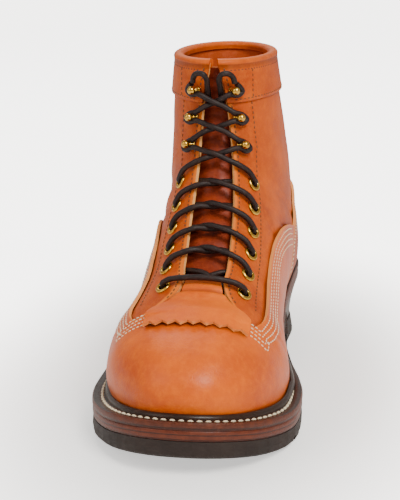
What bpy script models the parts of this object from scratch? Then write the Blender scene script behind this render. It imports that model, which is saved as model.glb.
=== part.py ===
"""Lace-up logger boot, right foot, standing empty on its sole.

Frame: toe towards -Y, heel towards +Y, inner side of the foot towards +X, floor at Z = 0.
The upper is a surface of sections. Each section spans from a point on the bottom line (the feather
line, and past the heel the back seam) to a point on the front line of the foot and shin.
"""
import math

import bmesh
import bpy
import numpy as np

# Overall sizes, metres
BOOT_LENGTH = 0.304
SOLE_WIDTH = 0.122
SHELL_HEIGHT = 0.2035

# Sole layers
RUBBER = 0.0100
MIDSOLE = 0.0058
WELT = 0.0047
TOE_SPRING = 0.0125
HEEL_HEIGHT = 0.0435
TOP_LIFT = 0.0120
SHANK_EDGE = 0.0030
INSOLE = 0.0040

# Welt and its raised rib
TOE_MARGIN = 0.0145
HEEL_MARGIN = 0.0060
SIDE_MARGIN = 0.0118
RIB_WIDTH = 0.0027
RIB_HEIGHT = 0.0032
EDGE_ROUND = 0.0009

# Tread
LUG_DEPTH = 0.0050
LUG_GROOVE = 0.0045
LUG_PITCH = 0.0150
LUG_COUNT = 7
LUG_REACH = 0.0240

# Heel
BREAST_SLANT = 0.0100
HEEL_UNDERCUT = 0.0062
LIFT_FLARE = 0.0026

# Leather
WALL = 0.0024
OVERLAY = 0.0019
BAND = 0.0011
BAND_DEPTH = 0.0230
RIM_ROLL = 0.0022
TONGUE_WALL = 0.0022
KILTIE_WALL = 0.0018
KILTIE_HALF = 0.0280
KILTIE_TEETH = 8
TOOTH_SHARE = 0.130

# Lacing
EYELET_COUNT = 6
EYELET_PITCH = 0.0176
EYELET_INSET = 0.0112
EYELET_HOLE = 0.0052
EYELET_WALL = 0.0006
EYELET_FLANGE = 0.0018
EYELET_RISE = 0.0011
HOOK_COUNT = 3
HOOK_STEP = 0.0212
HOOK_PITCH = 0.0190
HOOK_BALL = 0.0052
HOOK_NECK = 0.0024
HOOK_BASE = 0.0056
HOOK_REACH = 0.0018
HOOK_INSET = 0.0036
HOOK_PLATE = 0.0008
LACE = 0.0036

# Roll of the collar band: reach from the middle of the wall and height over the rim, in RIM_ROLLs
ROLL = (
    # reach, height
    (1.55, -0.55),
    (1.60, 0.25),
    (1.05, 0.95),
    (0.00, 1.20),
    (-1.00, 0.85),
    (-1.45, 0.15),
    (-1.40, -1.10),
    (-0.84, -1.10),
    (-0.84, 0.24),
    (0.84, 0.24),
)

# Clearances
GAP = 0.0003
HOOK_SEAT = 0.0010
CURVE_GAP = 0.0006
SEAT_GAP = 0.00045
STEP = 0.0008
SMALL = 0.02
RIB_GAP = OVERLAY + 2.6 * CURVE_GAP

# Mesh density
HEEL_STOPS = (0.25, 0.5, 0.75, 0.9)
COUNTER_STOPS = (0.03, 0.10, 0.22)
RING_STEPS = 30
SIDE_CELLS = 11
EYELET_SIDES = 8
TUBE_SIDES = 6

# Plan outline of the sole: half widths are shares of SOLE_WIDTH, margin is a share of SIDE_MARGIN
OUTLINE = (
    # along, inner, outer, margin
    (0.00, 0.450, 0.425, 1.00),
    (0.10, 0.480, 0.465, 1.00),
    (0.20, 0.503, 0.500, 1.00),
    (0.28, 0.502, 0.516, 0.98),
    (0.37, 0.468, 0.515, 0.92),
    (0.46, 0.405, 0.480, 0.80),
    (0.56, 0.350, 0.415, 0.62),
    (0.66, 0.335, 0.368, 0.45),
    (0.76, 0.348, 0.346, 0.35),
    (0.86, 0.360, 0.338, 0.35),
    (1.00, 0.360, 0.330, 0.35),
)
TOE_ROUND, TOE_BLUNT = 0.27, 2.3
HEEL_ROUND, HEEL_BLUNT = 0.15, 2.2

# Side line of the sole: lifts are shares of TOE_SPRING and of the heel's rise over the ball
CAMBER = (
    # along, toe_lift, heel_lift
    (0.00, 1.00, 0.00),
    (0.10, 0.40, 0.00),
    (0.18, 0.10, 0.00),
    (0.25, 0.00, 0.00),
    (0.39, 0.00, 0.00),
    (0.46, 0.00, 0.06),
    (0.54, 0.00, 0.25),
    (0.62, 0.00, 0.52),
    (0.70, 0.00, 0.74),
    (0.78, 0.00, 0.86),
    (0.90, 0.00, 0.95),
    (1.00, 0.00, 1.00),
)
BREAST = 0.665
SHANK_START, SHANK_END = 0.42, 0.645
RIB_FADE_START, RIB_FADE_END = 0.48, 0.58

# Sections of the upper. bottom runs 0 to 1 along the feather line and 1 to 2 up the back seam.
# front is a share of the feather line's length, up of the height over the toe's feather point,
# side and the half widths at mid section are shares of SOLE_WIDTH, full is the corner's exponent.
SECTIONS = (
    # bottom, front, up, side, inner, outer, full
    (0.000, 0.000, 0.000, 0.000, 0.000, 0.000, 0.80),
    (0.006, 0.000, 0.052, 0.004, 0.084, 0.086, 0.80),
    (0.025, 0.011, 0.105, 0.007, 0.156, 0.160, 0.80),
    (0.060, 0.039, 0.150, 0.010, 0.228, 0.234, 0.80),
    (0.120, 0.088, 0.190, 0.013, 0.302, 0.330, 0.80),
    (0.200, 0.147, 0.224, 0.014, 0.354, 0.398, 0.84),
    (0.290, 0.214, 0.274, 0.014, 0.366, 0.416, 0.90),
    (0.380, 0.277, 0.339, 0.011, 0.343, 0.388, 0.95),
    (0.470, 0.337, 0.406, 0.008, 0.326, 0.357, 0.98),
    (0.560, 0.393, 0.476, 0.003, 0.322, 0.343, 1.00),
    (0.660, 0.442, 0.547, -0.001, 0.326, 0.336, 1.00),
    (0.780, 0.477, 0.617, -0.006, 0.332, 0.334, 1.00),
    (0.920, 0.500, 0.684, -0.011, 0.332, 0.330, 1.00),
    (1.000, 0.514, 0.748, -0.016, 0.328, 0.326, 1.00),
    (1.250, 0.523, 0.813, -0.020, 0.318, 0.318, 1.00),
    (1.500, 0.528, 0.877, -0.024, 0.302, 0.304, 1.00),
    (1.750, 0.530, 0.942, -0.027, 0.280, 0.282, 1.00),
    (2.000, 0.530, 1.000, -0.029, 0.256, 0.258, 1.00),
)

# Back seam: up is a share of its height, back of the feather line's length, side of SOLE_WIDTH
BACK_SEAM = (
    # up, back, side
    (0.00, 0.0000, 0.016),
    (0.10, 0.0070, 0.016),
    (0.20, 0.0090, 0.014),
    (0.30, 0.0040, 0.011),
    (0.42, -0.0140, 0.006),
    (0.55, -0.0370, 0.000),
    (0.70, -0.0560, -0.010),
    (0.85, -0.0650, -0.020),
    (1.00, -0.0670, -0.030),
)

# Throat: half width at each section number, as a share of SOLE_WIDTH
THROAT = (
    # section, half
    (5.50, 0.246),
    (5.70, 0.235),
    (6.05, 0.163),
    (6.45, 0.115),
    (6.90, 0.100),
    (7.40, 0.108),
    (9.00, 0.111),
    (11.2, 0.097),
    (13.5, 0.077),
    (15.2, 0.053),
    (17.0, 0.019),
)
FIRST_EYELET = 6.70
HOOK_SPLIT = 0.20
BAR_LIFT = 0.14
JOINT_SHARE = 0.012

# Upper edge of the vamp's wing and upper edge of the counter, as ways along the sections
WING = (
    # section, way
    (5.50, 0.819),
    (6.15, 0.740),
    (7.15, 0.690),
    (8.35, 0.684),
    (9.40, 0.672),
    (10.35, 0.609),
    (11.05, 0.517),
    (11.50, 0.420),
)
COUNTER = (
    # section, way
    (10.0, 0.000),
    (10.25, 0.150),
    (10.5, 0.240),
    (10.8, 0.310),
    (11.2, 0.362),
    (12.0, 0.410),
    (13.0, 0.430),
    (13.6, 0.350),
    (14.0, 0.240),
    (14.5, 0.080),
    (14.7, 0.000),
)

# Kiltie: height of its outer face over the upper's skin, as a share of OVERLAY
KILTIE = (
    # section, lift
    (4.76, 2.95),
    (5.05, 2.85),
    (5.48, 2.65),
    (5.75, 1.70),
    (6.05, 0.50),
    (6.45, -0.05),
    (6.95, -0.10),
)

# Lace strand over the throat: across runs from its own eyelet or hook at 1 to the throat's edge at
# 0.5, the middle at 0 and the far side at -1; height is in shares of the lace's thickness, for a
# strand that dives under the far facing, one that starts under too, and one that stays on top
STRAND = (
    # across, dives, under, over
    (1.00, 1.04, -1.28, 1.00),
    (0.60, 0.98, -1.28, 0.92),
    (0.38, 0.66, -1.24, 0.84),
    (0.00, -0.28, -1.15, 0.76),
    (-0.40, -1.27, -1.24, 0.86),
    (-1.00, -1.28, -1.28, 1.00),
)

# Lace end: from the top hook over the rim's corner and down into the throat. number is relative to
# the top hook's section, across as above, height is in shares of the lace's thickness
LACE_END = (
    # number, across, height
    (0.36, 1.20, 1.75),
    (0.62, 1.25, 2.00),
    (0.90, 1.05, 2.35),
    (1.05, 0.66, 2.75),
    (0.85, 0.37, 2.50),
    (0.50, 0.31, 1.75),
    (0.05, 0.31, 0.80),
    (-0.40, 0.31, -0.20),
    (-0.85, 0.31, -1.05),
)

COLOURS = {
    "rubber": ((0.070, 0.052, 0.045, 1), 0.62, 0.0),
    "midsole": ((0.135, 0.050, 0.024, 1), 0.45, 0.0),
    "welt": ((0.060, 0.034, 0.022, 1), 0.45, 0.0),
    "heel": ((0.050, 0.036, 0.030, 1), 0.40, 0.0),
    "leather": ((0.700, 0.210, 0.058, 1), 0.42, 0.0),
    "lining": ((0.560, 0.200, 0.080, 1), 0.60, 0.0),
    "brass": ((0.780, 0.560, 0.200, 1), 0.25, 1.0),
    "lace": ((0.050, 0.024, 0.016, 1), 0.60, 0.0),
}


def columns(rows):
    """Turn a table's rows into one array for each column."""
    return [np.array(column, float) for column in zip(*rows)]


def monotone(x, xs, ys):
    """Cubic curve through the points that rises and falls only where they do."""
    x = np.clip(np.asarray(x, float), xs[0], xs[-1])
    step = np.diff(xs)
    slope = np.diff(ys) / step
    tangent = np.empty_like(ys)
    tangent[0], tangent[-1] = slope[0], slope[-1]
    same = slope[:-1] * slope[1:] > 0
    weight_a = 2 * step[1:] + step[:-1]
    weight_b = step[1:] + 2 * step[:-1]
    safe_a = np.where(same, slope[:-1], 1.0)
    safe_b = np.where(same, slope[1:], 1.0)
    mean = (weight_a + weight_b) / (weight_a / safe_a + weight_b / safe_b)
    tangent[1:-1] = np.where(same, mean, 0.0)
    index = np.clip(np.searchsorted(xs, x, side="right") - 1, 0, len(step) - 1)
    width = step[index]
    share = (x - xs[index]) / width
    rest = 1 - share
    return (ys[index] * (1 + 2 * share) * rest ** 2
            + tangent[index] * width * share * rest ** 2
            + ys[index + 1] * share ** 2 * (3 - 2 * share)
            - tangent[index + 1] * width * share ** 2 * rest)


def fade(x, start, end):
    """Smooth step from 0 at start to 1 at end."""
    share = np.clip((np.asarray(x, float) - start) / (end - start), 0, 1)
    return share * share * (3 - 2 * share)


def round_toe(along):
    """Share of the full half width that is left near the toe, a superellipse."""
    gone = np.clip(1 - along / TOE_ROUND, 0, 1) ** TOE_BLUNT
    return np.maximum(1 - gone, 0) ** (1 / TOE_BLUNT)


def round_heel(along):
    """Share of the full half width that is left near the heel, a superellipse."""
    gone = np.clip(1 - (1 - along) / HEEL_ROUND, 0, 1) ** HEEL_BLUNT
    return np.maximum(1 - gone, 0) ** (1 / HEEL_BLUNT)


def plan(along, margin=0.0):
    """Y and the inner and outer X of the sole's edge; margin 1 gives the feather line."""
    share, inner, outer, side = columns(OUTLINE)
    inset = margin * SIDE_MARGIN * monotone(along, share, side)
    ends = round_toe(along) * round_heel(along)
    toe_y = -BOOT_LENGTH / 2 + margin * TOE_MARGIN
    heel_y = BOOT_LENGTH / 2 - margin * HEEL_MARGIN
    y = toe_y + along * (heel_y - toe_y)
    inner_x = (monotone(along, share, inner) * SOLE_WIDTH - inset) * ends
    outer_x = -(monotone(along, share, outer) * SOLE_WIDTH - inset) * ends
    return y, inner_x, outer_x


def camber(y):
    """Height of the midsole's underside over the floor."""
    share, toe, heel = columns(CAMBER)
    along = np.clip(y / BOOT_LENGTH + 0.5, 0, 1)
    rise = HEEL_HEIGHT - RUBBER
    return RUBBER + TOE_SPRING * monotone(along, share, toe) + rise * monotone(along, share, heel)


def bed(y):
    """Height of the face that the upper stands on."""
    return camber(y) + MIDSOLE + WELT + GAP + SEAT_GAP


def back_seam(up):
    """Y, Z and X of the back seam, from the feather line to the rim."""
    share, back, side = columns(BACK_SEAM)
    length = BOOT_LENGTH - TOE_MARGIN - HEEL_MARGIN
    heel_y = BOOT_LENGTH / 2 - HEEL_MARGIN
    low = bed(heel_y)
    y = heel_y + length * monotone(up, share, back)
    return y, low + up * (SHELL_HEIGHT - low), SOLE_WIDTH * monotone(up, share, side)


def section_values(number):
    """Interpolated columns of the section table at section numbers."""
    table = columns(SECTIONS)
    index = np.arange(len(SECTIONS), dtype=float)
    return [monotone(number, index, column) for column in table]


def surface(number, way, side):
    """Points of the upper's skin.

    number is the section, way runs from 0 at its bottom or back to 1 at the front line, and side
    is +1 for the inner half and -1 for the outer half. All three are arrays of one shape. The half
    width squared is (1 - way)^full times a straight line in way, set so that it starts at the
    feather line and passes the table's half width in the middle: an ellipse where full is 1 and
    the feather line has closed, and an arch before that.
    """
    bottom, front, up, shift, inner, outer, full = section_values(number)
    length = BOOT_LENGTH - TOE_MARGIN - HEEL_MARGIN
    toe_y = -BOOT_LENGTH / 2 + TOE_MARGIN
    toe_z = bed(toe_y)
    foot = np.clip(bottom, 0, 1)
    foot_y, foot_in, foot_out = plan(foot, 1.0)
    seam_y, seam_z, seam_x = back_seam(np.clip(bottom - 1, 0, 1))
    on_foot = bottom <= 1
    base_y = np.where(on_foot, foot_y, seam_y)
    base_z = np.where(on_foot, bed(foot_y), seam_z)
    base_x = np.where(on_foot, seam_x * fade(bottom, 0.8, 1.0), seam_x)
    top_y = toe_y + front * length
    top_z = toe_z + up * (SHELL_HEIGHT - toe_z)
    foot_half = np.where(side > 0, foot_in - base_x, base_x - foot_out) * on_foot
    foot_half = np.maximum(foot_half, 0)
    middle = np.where(side > 0, inner, outer) * SOLE_WIDTH
    growth = 2 * (middle ** 2 * 2 ** full - foot_half ** 2)
    squared = (1 - way) ** full * (foot_half ** 2 + way * growth)
    half = np.sqrt(np.maximum(squared, 0))
    centre = base_x + (shift * SOLE_WIDTH - base_x) * way
    x = centre + side * half
    y = base_y + way * (top_y - base_y)
    z = base_z + way * (top_z - base_z)
    return np.stack([x, y, z], axis=-1)


def spread_way(number, low, high, cells):
    """Grid of ways between two edges of each section, closer where the section turns."""
    closing = sum(1 for row in SECTIONS if row[0] < 1)
    steps = np.linspace(0, 1, 401)
    rows = []
    for lean, first, last in zip(fade(number, 8, closing), low, high):
        spread = (1 - lean) * np.sin(math.pi / 2 * steps) + lean * (1 - np.cos(math.pi * steps)) / 2
        start, end = np.interp([first, last], spread, steps)
        rows.append(np.interp(np.linspace(start, end, cells + 1), steps, spread))
    return np.array(rows)


def throat_half(number):
    """Half width of the throat at section numbers."""
    share, half = columns(THROAT)
    return SOLE_WIDTH * monotone(number, share, half)


def way_at(number, half, side):
    """Way along each section at which the skin lies half away from the front line."""
    found = []
    steps = 1 - np.linspace(0.75, 0.0, 301) ** 2
    for one, width in zip(np.atleast_1d(number), np.atleast_1d(half)):
        line = surface(np.full_like(steps, one), steps, np.full_like(steps, side))
        away = np.abs(line[:, 0] - line[-1, 0])
        found.append(np.interp(-width, -away, steps))
    return np.array(found)


def smooth_normals(points, faces):
    """Outward normals at the points, from the faces' own."""
    normals = np.zeros_like(points)
    for face in faces:
        corner = points[list(face)]
        diagonal_a = corner[2 % len(face)] - corner[0]
        diagonal_b = corner[-1] - corner[1]
        normal = np.cross(diagonal_a, diagonal_b)
        for index in face:
            normals[index] += normal
    return normals / np.linalg.norm(normals, axis=1)[:, None]


def thicken(points, faces, outer, inner, floor=False):
    """Close a sheet of faces into a solid between two offsets along its normals.

    The offsets are numbers or one value a point. With floor set, points of the inner sheet that
    belong to the feather line come back down to the bed.
    """
    normals = smooth_normals(points, faces)
    outer = np.broadcast_to(outer, len(points))[:, None]
    inner = np.broadcast_to(inner, len(points))[:, None]
    skin = points + normals * outer
    lining = points + normals * inner
    if floor:
        on_bed = np.abs(points[:, 2] - bed(points[:, 1])) < GAP / 3
        for sheet in (skin, lining):
            low = bed(sheet[:, 1])
            sheet[:, 2] = np.where(on_bed, low, np.maximum(sheet[:, 2], low + GAP / 3))
    count = len(points)
    edges = {}
    for face in faces:
        for a, b in zip(face, face[1:] + face[:1]):
            edges[(a, b)] = edges.get((a, b), 0) + 1
    closed = [tuple(face) for face in faces]
    closed += [tuple(index + count for index in reversed(face)) for face in faces]
    for a, b in edges:
        if (b, a) not in edges:
            closed.append((b, a, a + count, b + count))
    return np.vstack([skin, lining]), closed


def weld(points, faces, distance=1e-6):
    """Join points that coincide and drop the faces that this collapses."""
    keys = {}
    new_index = []
    kept = []
    for point in points:
        key = tuple(np.round(point / distance).astype(int))
        if key not in keys:
            keys[key] = len(kept)
            kept.append(point)
        new_index.append(keys[key])
    new_faces = []
    for face in faces:
        loop = []
        for index in face:
            joined = new_index[index]
            if not loop or loop[-1] != joined:
                loop.append(joined)
        if loop[0] == loop[-1]:
            loop.pop()
        if len(loop) > 2:
            new_faces.append(tuple(loop))
    return np.array(kept), new_faces


def material(name):
    """Principled material of one finish."""
    found = bpy.data.materials.get(name)
    if found:
        return found
    colour, roughness, metallic = COLOURS[name]
    made = bpy.data.materials.new(name)
    made.use_nodes = True
    shader = made.node_tree.nodes["Principled BSDF"]
    shader.inputs["Base Color"].default_value = colour
    shader.inputs["Roughness"].default_value = roughness
    shader.inputs["Metallic"].default_value = metallic
    made.diffuse_color = colour
    return made


def add_piece(name, points, faces, finish, triangles=True):
    """Make a named object from points and faces, facing outwards."""
    points, faces = weld(np.asarray(points, float), faces)
    mesh = bpy.data.meshes.new(name)
    mesh.from_pydata([tuple(point) for point in points], [], faces)
    work = bmesh.new()
    work.from_mesh(mesh)
    if triangles:
        bmesh.ops.triangulate(work, faces=work.faces)
    bmesh.ops.recalc_face_normals(work, faces=work.faces)
    if work.calc_volume(signed=True) < 0:
        bmesh.ops.reverse_faces(work, faces=work.faces)
    work.to_mesh(mesh)
    work.free()
    mesh.shade_smooth()
    mesh.set_sharp_from_angle(angle=math.radians(40))
    piece = bpy.data.objects.new(name, mesh)
    bpy.context.scene.collection.objects.link(piece)
    piece.data.materials.append(material(finish))
    return piece


def apply_boolean(piece, cutter, operation):
    """Cut or join with another object, and keep the result in the piece's mesh."""
    change = piece.modifiers.new("cut", "BOOLEAN")
    change.operation = operation
    change.solver = "EXACT"
    change.object = cutter
    bpy.context.view_layer.update()
    seen = piece.evaluated_get(bpy.context.evaluated_depsgraph_get())
    mesh = bpy.data.meshes.new_from_object(seen)
    piece.modifiers.clear()
    old = piece.data
    piece.data = mesh
    mesh.name = piece.name
    bpy.data.meshes.remove(old)
    bpy.data.objects.remove(cutter)


def edge_ring(along, offset=0.0, margin=0.0):
    """Plan points round the sole at the along shares, inner side first, moved outwards by offset.

    Between the rounded ends a ring with a margin has its points beside those of the sole's edge.
    """
    if margin:
        y_edge = plan(along)[0]
        y_ends = plan(np.array([0.0, 1.0]), margin)[0]
        beside = (y_edge - y_ends[0]) / (y_ends[1] - y_ends[0])
        along = along + (beside - along) * fade(along, 0.15, 0.3) * (1 - fade(along, 0.8, 0.95))
    y, inner_x, outer_x = plan(along, margin)
    ring = np.vstack([np.stack([inner_x, y], 1), np.stack([outer_x, y], 1)[::-1]])
    if along[0] < 1e-9:
        ring = ring[:-1]
    if along[-1] > 1 - 1e-9:
        half = len(along)
        ring = np.delete(ring, half, axis=0)
    before, after = np.roll(ring, 1, axis=0), np.roll(ring, -1, axis=0)
    tangent = after - before
    normal = np.stack([tangent[:, 1], -tangent[:, 0]], 1)
    normal /= np.linalg.norm(normal, axis=1)[:, None]
    return ring + normal * np.broadcast_to(offset, len(ring))[:, None]


def ring_shares(start=0.0, end=1.0, steps=RING_STEPS):
    """Shares along the sole, closer together where the toe or the heel is round."""
    turn = np.linspace(0, math.pi, steps + 1)
    if start > 0:
        turn = np.linspace(math.pi / 2, math.pi, steps + 1)
    if end < 1:
        turn = np.linspace(0, math.pi / 2, steps + 1)
    even = (1 - np.cos(turn)) / 2
    even = (even - even[0]) / (even[-1] - even[0])
    return start + (end - start) * even


def lifted(ring, height):
    """Give plan points a height, a number or a function of Y."""
    z = height(ring[:, 1]) if callable(height) else np.full(len(ring), height)
    return np.column_stack([ring, z])


def stack_rings(rings, opening=False):
    """Faces of a solid whose skin runs through rings of equal count.

    Without an opening the first and last ring are capped by strips from the inner to the outer
    side; with one, the last ring joins the first.
    """
    count = len(rings[0])
    points = np.vstack(rings)
    faces = []
    pairs = list(zip(range(len(rings) - 1), range(1, len(rings))))
    if opening:
        pairs.append((len(rings) - 1, 0))
    for low, high in pairs:
        for index in range(count):
            following = (index + 1) % count
            faces.append((low * count + index, low * count + following,
                          high * count + following, high * count + index))
    if not opening:
        for level, turned in ((0, True), (len(rings) - 1, False)):
            start = level * count
            first, last = 0, count
            if count % 2 == 0 and np.allclose(rings[level][0, 0], 0, atol=1e-7):
                last = count
            left, right = first, last - 1
            strip = []
            if abs(rings[level][0, 0]) < 1e-7:
                strip.append((start, start + 1, start + count - 1))
                left, right = 1, count - 1
            while right - left > 2:
                strip.append((start + left, start + left + 1, start + right - 1, start + right))
                left += 1
                right -= 1
            if right - left == 2:
                strip.append((start + left, start + left + 1, start + right))
            faces += [tuple(reversed(face)) if turned else face for face in strip]
    return points, faces


def make_outsole():
    """Rubber half sole: toe band, lugs at the sides and in the middle, thin edge at the shank."""
    along = ring_shares(0.0, SHANK_END, 20)

    def thickness(y):
        share = y / BOOT_LENGTH + 0.5
        return RUBBER - GAP + (SHANK_EDGE - RUBBER) * fade(share, SHANK_START, SHANK_END)

    def top(y):
        return camber(y) - GAP

    def low(y):
        return top(y) - thickness(y)

    rings = [
        lifted(edge_ring(along, -2.2 * EDGE_ROUND), low),
        lifted(edge_ring(along, -0.4 * EDGE_ROUND), lambda y: low(y) + 1.6 * EDGE_ROUND),
        lifted(edge_ring(along), lambda y: low(y) + thickness(y) * 0.5),
        lifted(edge_ring(along, -0.4 * EDGE_ROUND), top),
    ]
    points, faces = stack_rings(rings)
    sole = add_piece("outsole", points, faces, "rubber")
    boxes = []
    start = -BOOT_LENGTH / 2 + 0.19 * BOOT_LENGTH
    for index in range(LUG_COUNT):
        y = start + index * LUG_PITCH
        for side in (1, -1):
            boxes.append((side * SOLE_WIDTH / 2, y, 2 * LUG_REACH, LUG_GROOVE))
    middle = start + LUG_PITCH * (LUG_COUNT - 1) / 2
    channel = SOLE_WIDTH / 2 - LUG_REACH
    run = LUG_PITCH * (LUG_COUNT - 1) + LUG_GROOVE
    for side in (1, -1):
        boxes.append((side * channel, middle, LUG_GROOVE, run))
    for index in (1, 5):
        boxes.append((0.0, start + index * LUG_PITCH, 2 * channel, LUG_GROOVE))
    cutter = box_cutter("tread_cutter", boxes, -0.01, LUG_DEPTH)
    apply_boolean(sole, cutter, "DIFFERENCE")
    return sole


def box_cutter(name, boxes, low, high):
    """One cutter from boxes given by centre and size in plan, joined where they cross."""
    cutter = None
    for centre_x, centre_y, size_x, size_y in boxes:
        corners = []
        for z in (low, high):
            for dx, dy in ((-1, -1), (1, -1), (1, 1), (-1, 1)):
                corners.append((centre_x + dx * size_x / 2, centre_y + dy * size_y / 2, z))
        faces = [(3, 2, 1, 0), (4, 5, 6, 7), (0, 1, 5, 4), (1, 2, 6, 5), (2, 3, 7, 6), (3, 0, 4, 7)]
        box = add_piece(name, corners, faces, "rubber", triangles=False)
        if cutter is None:
            cutter = box
        else:
            apply_boolean(cutter, box, "UNION")
    return cutter


def make_midsole():
    """Leather midsole, full length, level with the welt's edge."""
    along = ring_shares()
    rings = [
        lifted(edge_ring(along, -0.8 * EDGE_ROUND), camber),
        lifted(edge_ring(along, -0.3 * EDGE_ROUND), lambda y: camber(y) + MIDSOLE / 2),
        lifted(edge_ring(along, -0.8 * EDGE_ROUND), lambda y: camber(y) + MIDSOLE),
    ]
    points, faces = stack_rings(rings)
    return add_piece("midsole", points, faces, "midsole")


def make_welt():
    """Welt ring with a raised rib against the upper, fading out towards the heel."""
    along = ring_shares()
    base = MIDSOLE + GAP
    outer = edge_ring(along, -0.7 * EDGE_ROUND)
    shares = outer[:, 1] / BOOT_LENGTH + 0.5
    rib = RIB_HEIGHT * (1 - fade(shares, RIB_FADE_START, RIB_FADE_END))

    local = SIDE_MARGIN * monotone(shares, *columns(OUTLINE)[0::3])
    free = fade(shares, RIB_FADE_START, RIB_FADE_END)

    def level(ring, rise):
        flat = lifted(ring, lambda y: camber(y) + base)
        flat[:, 2] += rise
        return flat

    def beside(with_rib, without_rib):
        offset = (1 - free) * with_rib + free * without_rib * local
        return edge_ring(along, offset, 1.0)

    rings = [
        level(outer, 0.0),
        level(edge_ring(along, 0.0), WELT * 0.5),
        level(outer, WELT),
        level(beside(RIB_GAP + RIB_WIDTH, 0.6), WELT),
        level(beside(RIB_GAP + 0.7 * RIB_WIDTH, 0.5), WELT + rib),
        level(beside(RIB_GAP, 0.4), WELT + rib * 0.8),
        level(beside(RIB_GAP * 0.9, 0.3), WELT),
        level(edge_ring(along, -WALL, 1.0), WELT),
        level(edge_ring(along, -WALL, 1.0), 0.0),
    ]
    points, faces = stack_rings(rings, opening=True)
    return add_piece("welt", points, faces, "welt")


def make_insole():
    """Insole board on the midsole, inside the welt and the upper."""
    along = ring_shares()
    inset = -(WALL + 2 * CURVE_GAP)
    low = MIDSOLE + GAP
    rings = [
        lifted(edge_ring(along, inset, 1.0), lambda y: camber(y) + low),
        lifted(edge_ring(along, inset, 1.0), lambda y: camber(y) + low + INSOLE),
    ]
    points, faces = stack_rings(rings)
    return add_piece("insole", points, faces, "lining")


def heel_ring(level, inset):
    """Plan points of the heel block at a level from 0 at its seat to 1 at the floor."""
    breast = BREAST + level * BREAST_SLANT / BOOT_LENGTH
    along = ring_shares(breast, 1.0, 12)
    return edge_ring(along, -inset)


def make_heel():
    """Leather stack, undercut to the rear and the sides, and its rubber top lift."""
    seat = camber
    levels = []
    top_of_lift = TOP_LIFT + GAP
    for share in (0.0, 0.12, 0.4, 0.7, 1.0):
        inset = EDGE_ROUND + (HEEL_UNDERCUT - EDGE_ROUND) * math.sin(math.pi / 2 * share)

        def height(y, share=share):
            return (seat(y) - GAP) * (1 - share) + top_of_lift * share

        levels.append(lifted(heel_ring(share * 0.75, inset), height))
    points, faces = stack_rings(levels[::-1])
    stack = add_piece("heel_stack", points, faces, "heel")
    rings = [
        lifted(heel_ring(1.0, HEEL_UNDERCUT - LIFT_FLARE + EDGE_ROUND), 0.0),
        lifted(heel_ring(1.0, HEEL_UNDERCUT - LIFT_FLARE), EDGE_ROUND),
        lifted(heel_ring(0.78, HEEL_UNDERCUT - 0.3 * LIFT_FLARE), TOP_LIFT),
    ]
    points, faces = stack_rings(rings)
    lift = add_piece("top_lift", points, faces, "rubber")
    return stack, lift


def grid_faces(rows, cols, offset=0):
    """Quads of a grid of points stored row by row."""
    faces = []
    for row in range(rows - 1):
        for col in range(cols - 1):
            a = offset + row * cols + col
            faces.append((a, a + cols, a + cols + 1, a + 1))
    return faces


def half_rows(numbers, low, high, side, cells):
    """Grid of skin points from way low to way high in each section, on one side."""
    way = spread_way(numbers, low, high, cells)
    number = np.repeat(numbers[:, None], cells + 1, axis=1)
    return surface(number, way, np.full_like(way, side))


def join_sheets(sheets):
    """Stack grids of points into one list with welded seams; the outer side is turned round."""
    points, faces = [], []
    for grid, turned in sheets:
        rows, cols = grid.shape[:2]
        start = sum(len(part) for part in points)
        quads = grid_faces(rows, cols, start)
        faces += [tuple(reversed(quad)) if turned else quad for quad in quads]
        points.append(grid.reshape(-1, 3))
    return weld(np.vstack(points), faces)


def row_numbers():
    """Section numbers of the rows in front of the throat's start and behind it.

    Rows lie closer together at the toe and where the feather line closes round the heel.
    """
    start = THROAT[0][0]
    closing = float(sum(1 for row in SECTIONS if row[0] < 1.0))
    fore = start * np.linspace(0, 1, 11) ** 1.15
    foot = np.linspace(start, closing - 1, 12)
    heel = closing - 1 + np.array(HEEL_STOPS)
    shaft = np.linspace(closing, len(SECTIONS) - 1, 7)
    return fore, np.concatenate([foot, heel, shaft])


def rows_between(first, last):
    """Row numbers from first to last, with the upper's own rows between them."""
    every = np.concatenate(row_numbers())
    inside = every[(every > first + 0.05) & (every < last - 0.05)]
    return np.unique(np.concatenate([[first], inside, [last]]))


def throat_way(numbers, side):
    """Way of the throat's edge in each section."""
    return way_at(numbers, throat_half(numbers), side)


def make_upper():
    """Hollow shell from the feather line to the rim, open below, at the throat and at the collar."""
    fore, aft = row_numbers()
    sheets = []
    for side in (1, -1):
        turned = side < 0
        first = throat_way(fore[-1:], side)[0]
        edge = np.concatenate([np.full(len(fore), first), throat_way(aft, side)[1:]])
        numbers = np.concatenate([fore, aft[1:]])
        sheets.append((half_rows(numbers, np.zeros(len(numbers)), edge, side, SIDE_CELLS), turned))
        middle = half_rows(fore, np.full(len(fore), first), np.ones(len(fore)), side, 3)
        sheets.append((middle, turned))
    points, faces = join_sheets(sheets)
    points, faces = thicken(points, faces, 0.0, -WALL, floor=True)
    upper = add_piece("upper", points, faces, "leather")
    return upper


def skin_frame(number, half):
    """Skin points at signed half widths from the front line, with outward normals."""
    number, half = np.broadcast_arrays(np.asarray(number, float), np.asarray(half, float))
    side = np.where(half < 0, -1.0, 1.0)

    def skin(numbers, halves):
        signs = np.where(halves < 0, -1.0, 1.0)
        ways = [way_at(one, abs(width), sign)[0] for one, width, sign in zip(numbers, halves, signs)]
        return surface(numbers, np.array(ways), signs)

    here = skin(number, half)
    across = skin(number, half + STEP) - skin(number, half - STEP)
    along = skin(number + SMALL, half) - skin(number - SMALL, half)
    normal = np.cross(across, along)
    normal /= np.linalg.norm(normal, axis=1)[:, None]
    away = across / np.linalg.norm(across, axis=1)[:, None] * side[:, None]
    return here, normal, away


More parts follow.
